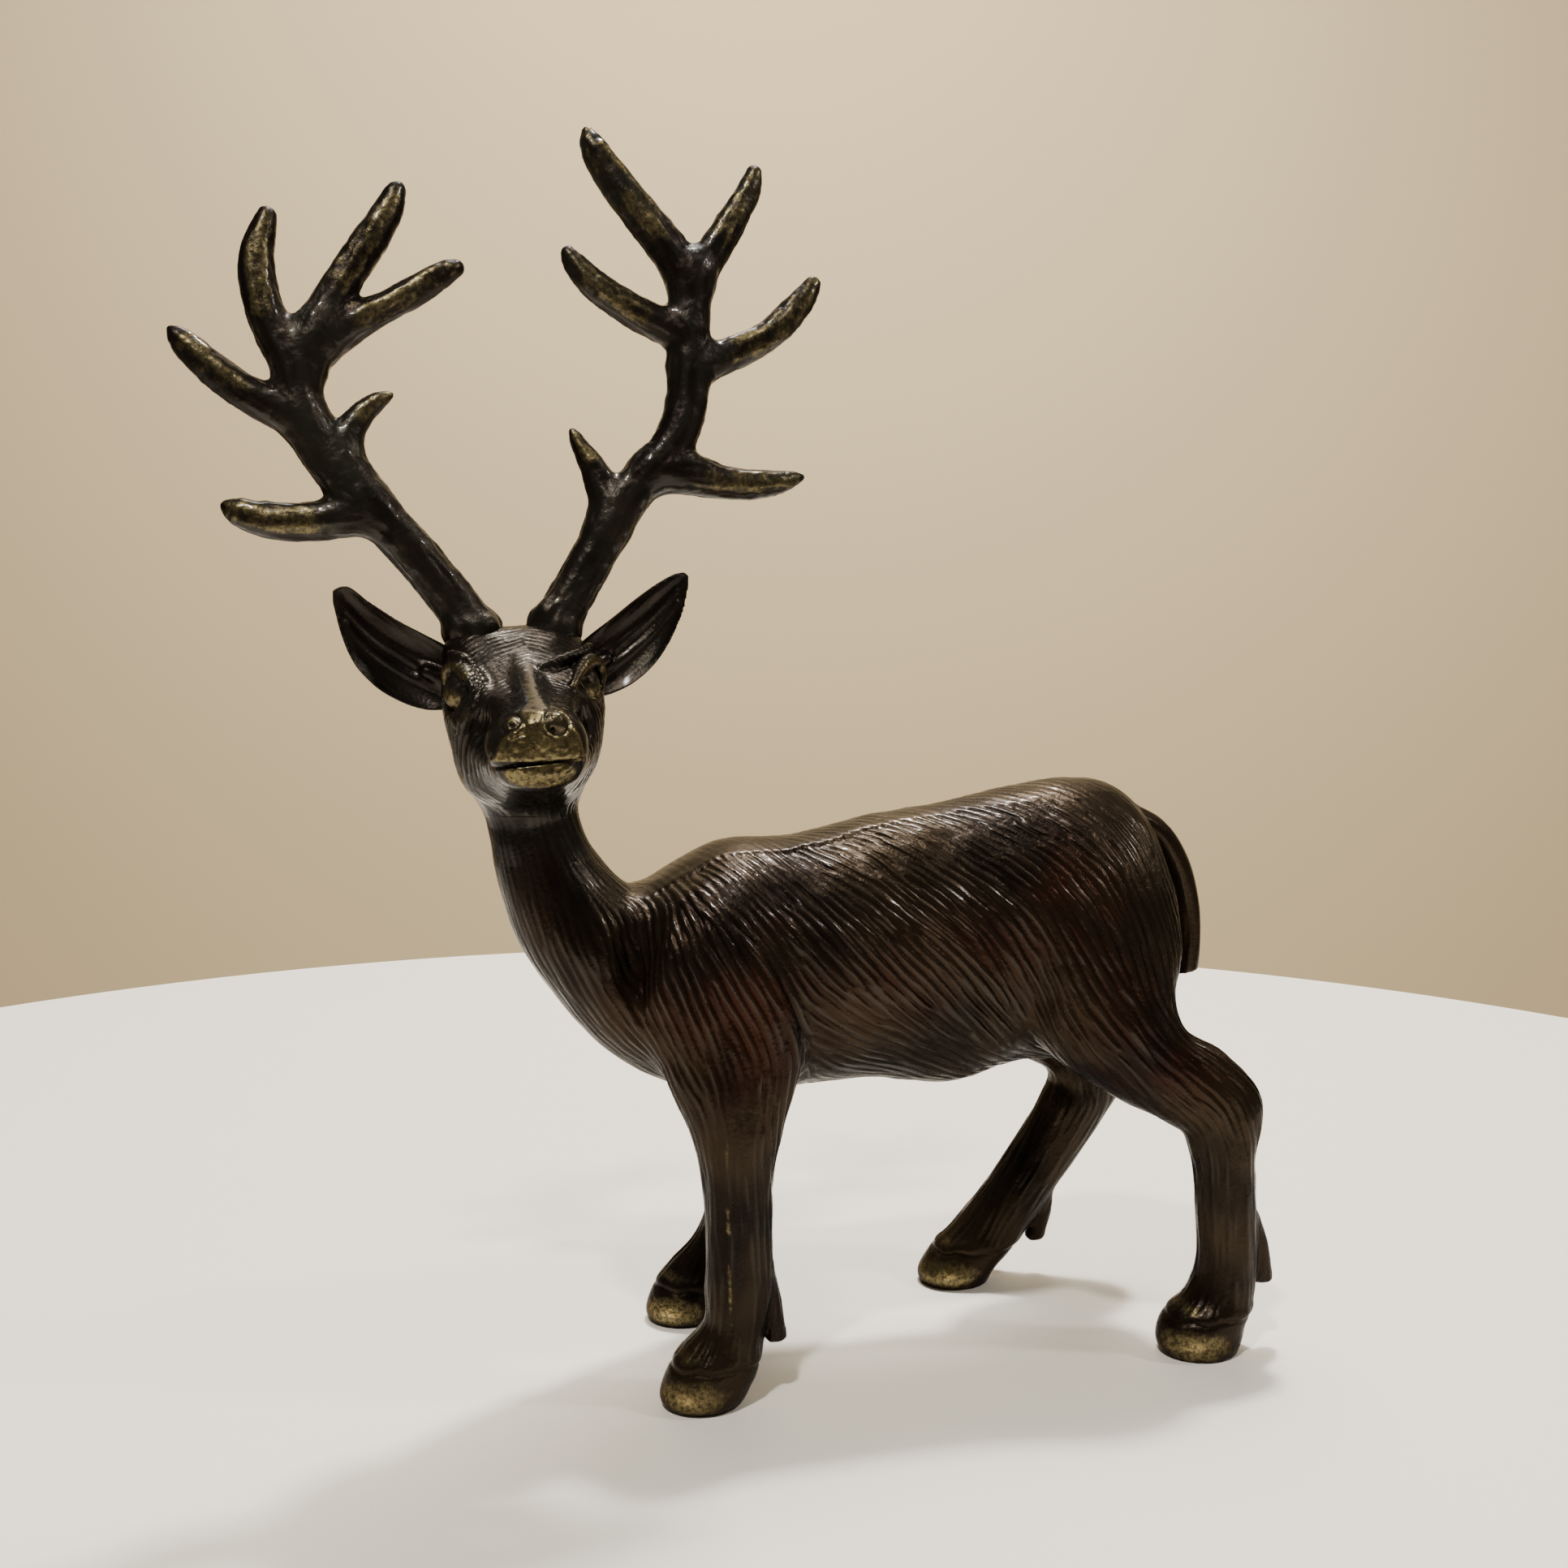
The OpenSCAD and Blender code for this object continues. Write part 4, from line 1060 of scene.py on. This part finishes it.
def make_antler(name, branches, seed, node, material):
    paths = [branch_path(b) for b in branches]
    every = np.vstack(paths)[:, :3]
    v = volume_round(every, 9, ANTLER_STEP)
    for k, p in enumerate(paths):
        single = volume_round(every, 9, ANTLER_STEP)
        single.rod(p, 0)
        v.add(single.field, 0 if k == 0 else 3)
    add_coronet(v, paths[0], seed)
    points, quads = v.surface()
    normal = normals_of(points, quads)
    low, high = np.vstack([p[:-1, :3] for p in paths]), np.vstack([p[1:, :3] for p in paths])
    mids, ways = (low + high) / 2, high - low
    ways = ways / np.linalg.norm(ways, axis=1, keepdims=True)

    def lay(x, y, z):
        return weighted(y, z, mids[:, 1:], ways, 2.0)

    hair = comb(points, flow_lattice(v, lay, 3), noise_lattice(v, 1.5, seed, 1), 9, 0.8)[:, 0]
    rough = noise_lattice(v, 2.2, seed + 1, 1).at(points)[:, 0]
    tips = np.array([p[-1, :3] for p in paths[1:]])
    tip = np.sqrt(((points[:, None] - tips[None]) ** 2).sum(-1)).min(1)
    crest = rounded_hair(hair)
    chased = noise_lattice(v, 0.8, seed + 2, 1).at(points)[:, 0]
    height = 0.16 * step01(tip, 1, 8) * crest + 0.14 * rough + 0.05 * chased
    points, tris, normal = raised(points, quads, normal, height)
    beam = np.sqrt(((points[:, None] - paths[0][None, ::2, :3]) ** 2).sum(-1)).min(1)
    tine = step01(beam, 6, 14)
    strip = np.maximum(step01(np.abs(normal[:, 0] + 0.12 * rough), 0.5, 0.92), 0.7 * step01(-tip, -5, -1))
    wear = tine * (0.48 * strip + 0.16 * np.tanh(2 * crest))
    # The crests go in as the patina's painted highlight on ridges and painted shade in grooves.
    table = np.column_stack([points, normal, crest, wear, 0.15 * np.ones(len(points)), np.ones(len(points))])
    piece(name, table, tris, [node], material)


def add_coronet(v, beam, seed):
    """The lumpy ring round the foot of the beam."""
    rng = np.random.default_rng(seed)
    foot = beam[4]
    way = beam[6, :3] - beam[2, :3]
    way = way / np.linalg.norm(way)
    side = np.cross(way, [1.0, 0, 0])
    side = side / np.linalg.norm(side)
    for k in range(7):
        a = 2 * np.pi * (k + rng.uniform(-0.25, 0.25)) / 7
        out = np.cos(a) * np.array([1.0, 0, 0]) + np.sin(a) * side
        centre = foot[:3] - way * rng.uniform(0.0, 3.0) + out * 4.0
        v.ball(centre, (rng.uniform(2.2, 3.5),) * 3, 2.2)


# ---------------------------------------------------------------- ears and tail
EAR_X, EAR_THICK = 2.0, 2.4
# y, z, reach up, reach down, depth of the cup
EARS = {
    "left": [
        (-75, 166.3, 6.6, 5.2, 0), (-71, 168.5, 8, 6.2, 0.5), (-65, 172.5, 8.7, 9, 2.5),
        (-59, 177.5, 8.5, 11, 3.5), (-53, 183, 7.2, 10.6, 3.5), (-48.7, 187.5, 4.8, 7.2, 2),
        (-47.2, 189.4, 3.0, 5.0, 0.8), (-46.2, 190.8, 0.9, 1.4, 0.1)],
    "right": [
        (-98, 164.3, 6.6, 5.2, 0), (-102, 166, 8, 6.2, 0.5), (-107.5, 168.7, 8.3, 8.8, 2.5),
        (-114, 172.5, 8, 10.4, 3.5), (-120, 177, 7.5, 10.7, 3.5), (-124.8, 182, 5.8, 8.8, 2),
        (-126.6, 184.3, 3.2, 5.6, 0.8), (-127.8, 185.8, 1.0, 1.6, 0.1)],
}
# y, z, half thickness, half width, tilt of the thickness from level
TAIL = [(71, 131.5, 4, 6, 65), (78, 127.5, 4, 6.5, 50), (83.8, 119.5, 4, 6.5, 25), (87.2, 109, 3.9, 6.2, 8),
        (88, 98, 3.9, 5.8, 4), (87.7, 90.3, 4.1, 5.4, 14)]


def ear_rings(stations):
    """Closed rings round the cupped leaf: along its front from edge to edge, and back behind it."""
    s = smooth_rows(stations, 6, 2)
    across = np.concatenate([np.linspace(-1, 1, RING_SIDES // 2), np.linspace(1, -1, RING_SIDES // 2)])
    front = np.concatenate([np.ones(RING_SIDES // 2), np.zeros(RING_SIDES // 2)])
    reach = np.where(across > 0, s[:, 2:3], s[:, 3:4]) * across
    cup = s[:, 4:5] * (1 - np.abs(across) ** 2.6)
    thick = (1 - front) * EAR_THICK * (0.6 + 0.4 * (1 - across ** 2))
    return np.stack([EAR_X - 0.4 - cup - thick, np.repeat(s[:, :1], RING_SIDES, 1), s[:, 1:2] + reach], -1)


def leaf_volume(rings):
    v = volume_round(rings, 5, LEAF_STEP, band=4.0)
    v.field = v.of_rings(rings)
    return v


def leaf_skin(v, stations, noise, reach, depth):
    """The skin of an ear or the tail, with fine hair along it: points, triangles, normals and crests."""
    points, quads = v.surface()
    s = smooth_rows(stations, 6, 2)
    mids = (s[1:, :2] + s[:-1, :2]) / 2
    ways = np.column_stack([np.zeros(len(mids)), s[1:, :2] - s[:-1, :2]])
    flow = flow_lattice(v, lambda x, y, z: weighted(y, z, mids, ways, 2.0), 3)
    crest = rounded_hair(comb(points, flow, noise, reach, 0.6)[:, 0])
    return raised(points, quads, normals_of(points, quads), depth * crest) + (crest,)


def make_ear(side, seed, material):
    v = leaf_volume(ear_rings(EARS[side]))
    s = smooth_rows(EARS[side], 6, 2)
    root, beyond = np.array(EARS[side][1][:2]), np.array(EARS[side][2][:2])
    way = (beyond - root) / np.linalg.norm(beyond - root)
    v.rod([(0.8, *(root - 4 * way), 2.4), (0.8, *(root + 6 * way), 1.5)], 2)
    leaf = s[8:-12]
    for lift, rise in ((-0.3, leaf[:, 3]), (0.1, leaf[:, 2])):
        x = EAR_X - 0.5 - leaf[:, 4] * (1 - abs(lift) ** 1.8)
        radius = np.linspace(0.8, 0.2, len(leaf))
        v.rod(np.column_stack([x, leaf[:, 0], leaf[:, 1] + rise * lift, radius]), 1.5)
    points, tris, normal, crest = leaf_skin(v, EARS[side], noise_lattice(v, 1.0, seed, 1), 6, 0.05)
    blank = np.zeros(len(points))
    # The crests go in as the patina's painted highlight on ridges and painted shade in grooves.
    table = np.column_stack([points, normal, 0.3 * crest, blank, blank + 0.2, blank + 1])
    piece("ear_" + side + "_skin", table, tris, ["ear_" + side], material)


def make_tail(material):
    v = leaf_volume(tail_rings(TAIL))
    points, tris, normal, crest = leaf_skin(v, TAIL, noise_lattice(v, 1.2, 61, 1), 9, 0.12)
    blank = np.zeros(len(points))
    wear = 0.7 * np.exp(-((points[:, 1] - 83.6) ** 2 + (points[:, 2] - 104) ** 2) / 2)
    # The crests go in as the patina's painted highlight on ridges and painted shade in grooves.
    table = np.column_stack([points, normal, 0.7 * crest, wear, blank + 0.2, blank])
    piece("tail_skin", table, tris, ["tail"], material)


# ---------------------------------------------------------------- materials
DARK, OLIVE, RED = (0.009, 0.0065, 0.0055, 1), (0.028, 0.0195, 0.012, 1), (0.030, 0.010, 0.006, 1)
COOL, COOL_OLIVE = (0.010, 0.009, 0.0085, 1), (0.026, 0.024, 0.019, 1)
# The brighter second brass is a painted highlight, reached only on the fronts of the hooves.
BRASS, PAINTED_HIGHLIGHT_BRASS = (0.155, 0.125, 0.060, 1), (0.52, 0.40, 0.18, 1)


class Nodes:
    """A material under construction. Inputs are sockets or constants."""

    def __init__(self, name):
        self.material = bpy.data.materials.new(name)
        self.material.use_nodes = True
        self.tree = self.material.node_tree
        self.tree.nodes.clear()
        self.place = self.add("ShaderNodeTexCoord").outputs["Object"]

    def add(self, kind, inputs=(), **settings):
        made = self.tree.nodes.new(kind)
        for key, value in settings.items():
            setattr(made, key, value)
        for key, value in dict(inputs).items():
            if isinstance(value, bpy.types.NodeSocket):
                self.tree.links.new(value, made.inputs[key])
            else:
                made.inputs[key].default_value = value
        return made

    def value(self, name):
        return self.add("ShaderNodeAttribute", attribute_name=name).outputs["Fac"]

    def noise(self, scale, detail, rough=0.55):
        inputs = {"Vector": self.place, "Scale": scale, "Detail": detail, "Roughness": rough}
        return self.add("ShaderNodeTexNoise", inputs).outputs["Fac"]

    def ramp(self, of, low, high):
        inputs = {"Value": of, "From Min": low, "From Max": high}
        return self.add("ShaderNodeMapRange", inputs, interpolation_type="SMOOTHSTEP").outputs["Result"]

    def scaled(self, of, by, plus=0.0):
        product = self.add("ShaderNodeMath", {0: of, 1: by}, operation="MULTIPLY").outputs["Value"]
        return self.add("ShaderNodeMath", {0: product, 1: plus}, operation="ADD").outputs["Value"]

    def mixed(self, share, a, b):
        return self.add("ShaderNodeMix", {"Factor": share, 6: a, 7: b}, data_type="RGBA").outputs[2]

    def grain(self, height, strength, distance):
        inputs = {"Strength": strength, "Distance": distance, "Height": height}
        return self.add("ShaderNodeBump", inputs).outputs["Normal"]

    def shaded(self, inputs):
        shader = self.add("ShaderNodeBsdfPrincipled", inputs)
        out = self.add("ShaderNodeOutputMaterial")
        self.tree.links.new(shader.outputs["BSDF"], out.inputs["Surface"])
        return self.material


def patina_colour(m, crest):
    """Brown lacquer, cooler or redder in places, and paler on the crests as a painted highlight, which leaves
    the grooves in painted shade.
    """
    olive = m.mixed(m.value("shade"), OLIVE, COOL_OLIVE)
    dark = m.mixed(m.value("shade"), DARK, COOL)
    base = m.mixed(m.ramp(m.noise(38, 3), 0.35, 0.68), dark, olive)
    redness = m.scaled(m.value("tint"), m.ramp(m.noise(70, 4), 0.3, 0.6))
    return m.mixed(m.scaled(crest, 0.5), m.mixed(redness, base, RED), olive)


def patina(name, gloss):
    """Lacquer over bronze, worn to brass where it is handled."""
    m = Nodes(name)
    # crest pales the colour as a painted highlight on the hair's crests, and leaves grooves and the lower
    # body in painted shade; it also sets the coat.
    crest = m.ramp(m.value("painted_groove_shading"), -0.25, 0.55)
    wear = m.value("wear")
    specks = m.ramp(m.noise(900, 3, 0.7), 0.38, 0.58)
    rubbed = m.ramp(m.scaled(m.noise(330, 4, 0.7), 0.9, wear), 0.68, 1.15)
    rubbed = m.scaled(rubbed, m.scaled(specks, 0.75, 0.25))
    # Past a wear of 0.85, on the hooves, the brass turns brighter as a painted highlight.
    brass = m.mixed(m.ramp(wear, 0.85, 1.08), BRASS, PAINTED_HIGHLIGHT_BRASS)
    return m.shaded({
        "Base Color": m.mixed(rubbed, patina_colour(m, crest), brass),
        "Metallic": m.scaled(rubbed, 0.25, 0.7), "Roughness": m.scaled(m.noise(140, 4), 0.26, gloss),
        "Normal": m.grain(m.noise(1100, 5, 0.6), 0.4, 0.0004),
        "Specular Tint": (0.32, 0.29, 0.27, 1), "Specular IOR Level": 0.2,
        "Coat Weight": m.scaled(crest, 0.8, 0.1), "Coat IOR": 1.23, "Coat Roughness": 0.13})


def plain(name, colour, metal, rough):
    m = Nodes(name)
    return m.shaded({"Base Color": (*colour, 1), "Metallic": metal, "Roughness": rough,
                     "Normal": m.grain(m.noise(600, 3, 0.5), 0.2, 0.0002)})


# ---------------------------------------------------------------- room
VIEW = (-0.9645, 0.2642)
TILT_DOWN = np.radians(3.534)
CEILING = (
    ("ceiling_front", (0.7, -0.5, 1.6), (0, 0, 0.12), 0.11, 24, (1.0, 0.96, 0.9)),
    ("ceiling_back", (-0.5, 0.3, 1.7), (0, 0, 0.15), 0.15, 38, (1.0, 0.97, 0.92)),
    ("ceiling_rear", (0.5, 1.3, 1.3), (0, 0, 0.12), 0.13, 11, (1.0, 0.96, 0.9)),
    ("wall_wash", (-0.9, 0.2, 2.2), (-1.7, 0.45, 0.3), 1.2, 60, (1.0, 0.96, 0.9)),
)


def staged(name, colour, rough):
    """Names, paints and stages the mesh just added."""
    made = bpy.context.object
    made.name = name
    made.data.materials.append(plain(name + "_paint", colour, 0.0, rough))


def make_stage():
    """The round table top, the ground under it and the wall behind, square to the view."""
    bpy.ops.mesh.primitive_circle_add(vertices=128, radius=0.5, fill_type="NGON", location=(-0.1, 0.02, 0))
    staged("floor", (0.79, 0.755, 0.685), 0.55)
    bpy.ops.mesh.primitive_plane_add(size=8, location=(0, 0, -0.75))
    staged("ground", (0.45, 0.40, 0.32), 0.8)
    facing = Vector((-VIEW[0], -VIEW[1], 0)).to_track_quat("Z", "Y").to_euler()
    bpy.ops.mesh.primitive_plane_add(size=7, location=(-1.7, 0.45, 0.6), rotation=facing)
    staged("wall", (0.68, 0.54, 0.325), 0.9)


def lamp(name, place, aim, size, power, colour):
    light = bpy.data.lights.new(name, "AREA")
    light.shape, light.size, light.energy, light.color = "DISK", size, power, colour
    made = bpy.data.objects.new(name, light)
    made.location = place
    made.rotation_euler = (Vector(aim) - Vector(place)).to_track_quat("-Z", "Y").to_euler()
    bpy.context.scene.collection.objects.link(made)


def make_lights():
    for row_of_lamp in CEILING:
        lamp(*row_of_lamp)
    world = bpy.data.worlds.new("room")
    bpy.context.scene.world = world
    world.use_nodes = True
    background = world.node_tree.nodes["Background"].inputs
    background["Color"].default_value = (0.60, 0.53, 0.42, 1)
    background["Strength"].default_value = 0.3


def make_camera():
    made = bpy.data.objects.new("camera", bpy.data.cameras.new("camera"))
    made.data.lens = 35
    made.data.clip_start = 0.01
    made.location = (0.35736, -0.08827, 0.1645)
    ahead = Vector((VIEW[0] * np.cos(TILT_DOWN), VIEW[1] * np.cos(TILT_DOWN), -np.sin(TILT_DOWN)))
    made.rotation_euler = ahead.to_track_quat("-Z", "Y").to_euler()
    bpy.context.scene.collection.objects.link(made)
    bpy.context.scene.camera = made


# ---------------------------------------------------------------- the statuette
def finish_hidden_parts():
    """The dowels, sleeves and plug inside, which keep their CAD shapes."""
    steel = plain("dowel_steel", (0.50, 0.50, 0.48), 1.0, 0.35)
    cast = plain("raw_casting", (0.52, 0.38, 0.18), 1.0, 0.45)
    for material, names in ((steel, ("leg_dowels", "antler_dowels", "ear_dowels", "tail_dowel")),
                            (cast, ("neck_base_sleeve", "throat_sleeve", "belly_plug"))):
        for name in names:
            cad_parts[name].data.materials.clear()
            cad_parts[name].data.materials.append(material)


brown = patina("brown_patina", 0.15)
dark = patina("dark_patina", 0.15)
tines = patina("antler_patina", 0.22)
throat_hair = make_skin(brown)
make_head(dark, throat_hair)
make_antler("antler_left_skin", LEFT_BRANCHES, 41, "antler_left", tines)
make_antler("antler_right_skin", RIGHT_BRANCHES, 47, "antler_right", tines)
make_ear("left", 53, dark)
make_ear("right", 59, dark)
make_tail(dark)
finish_hidden_parts()
make_stage()
make_lights()
make_camera()
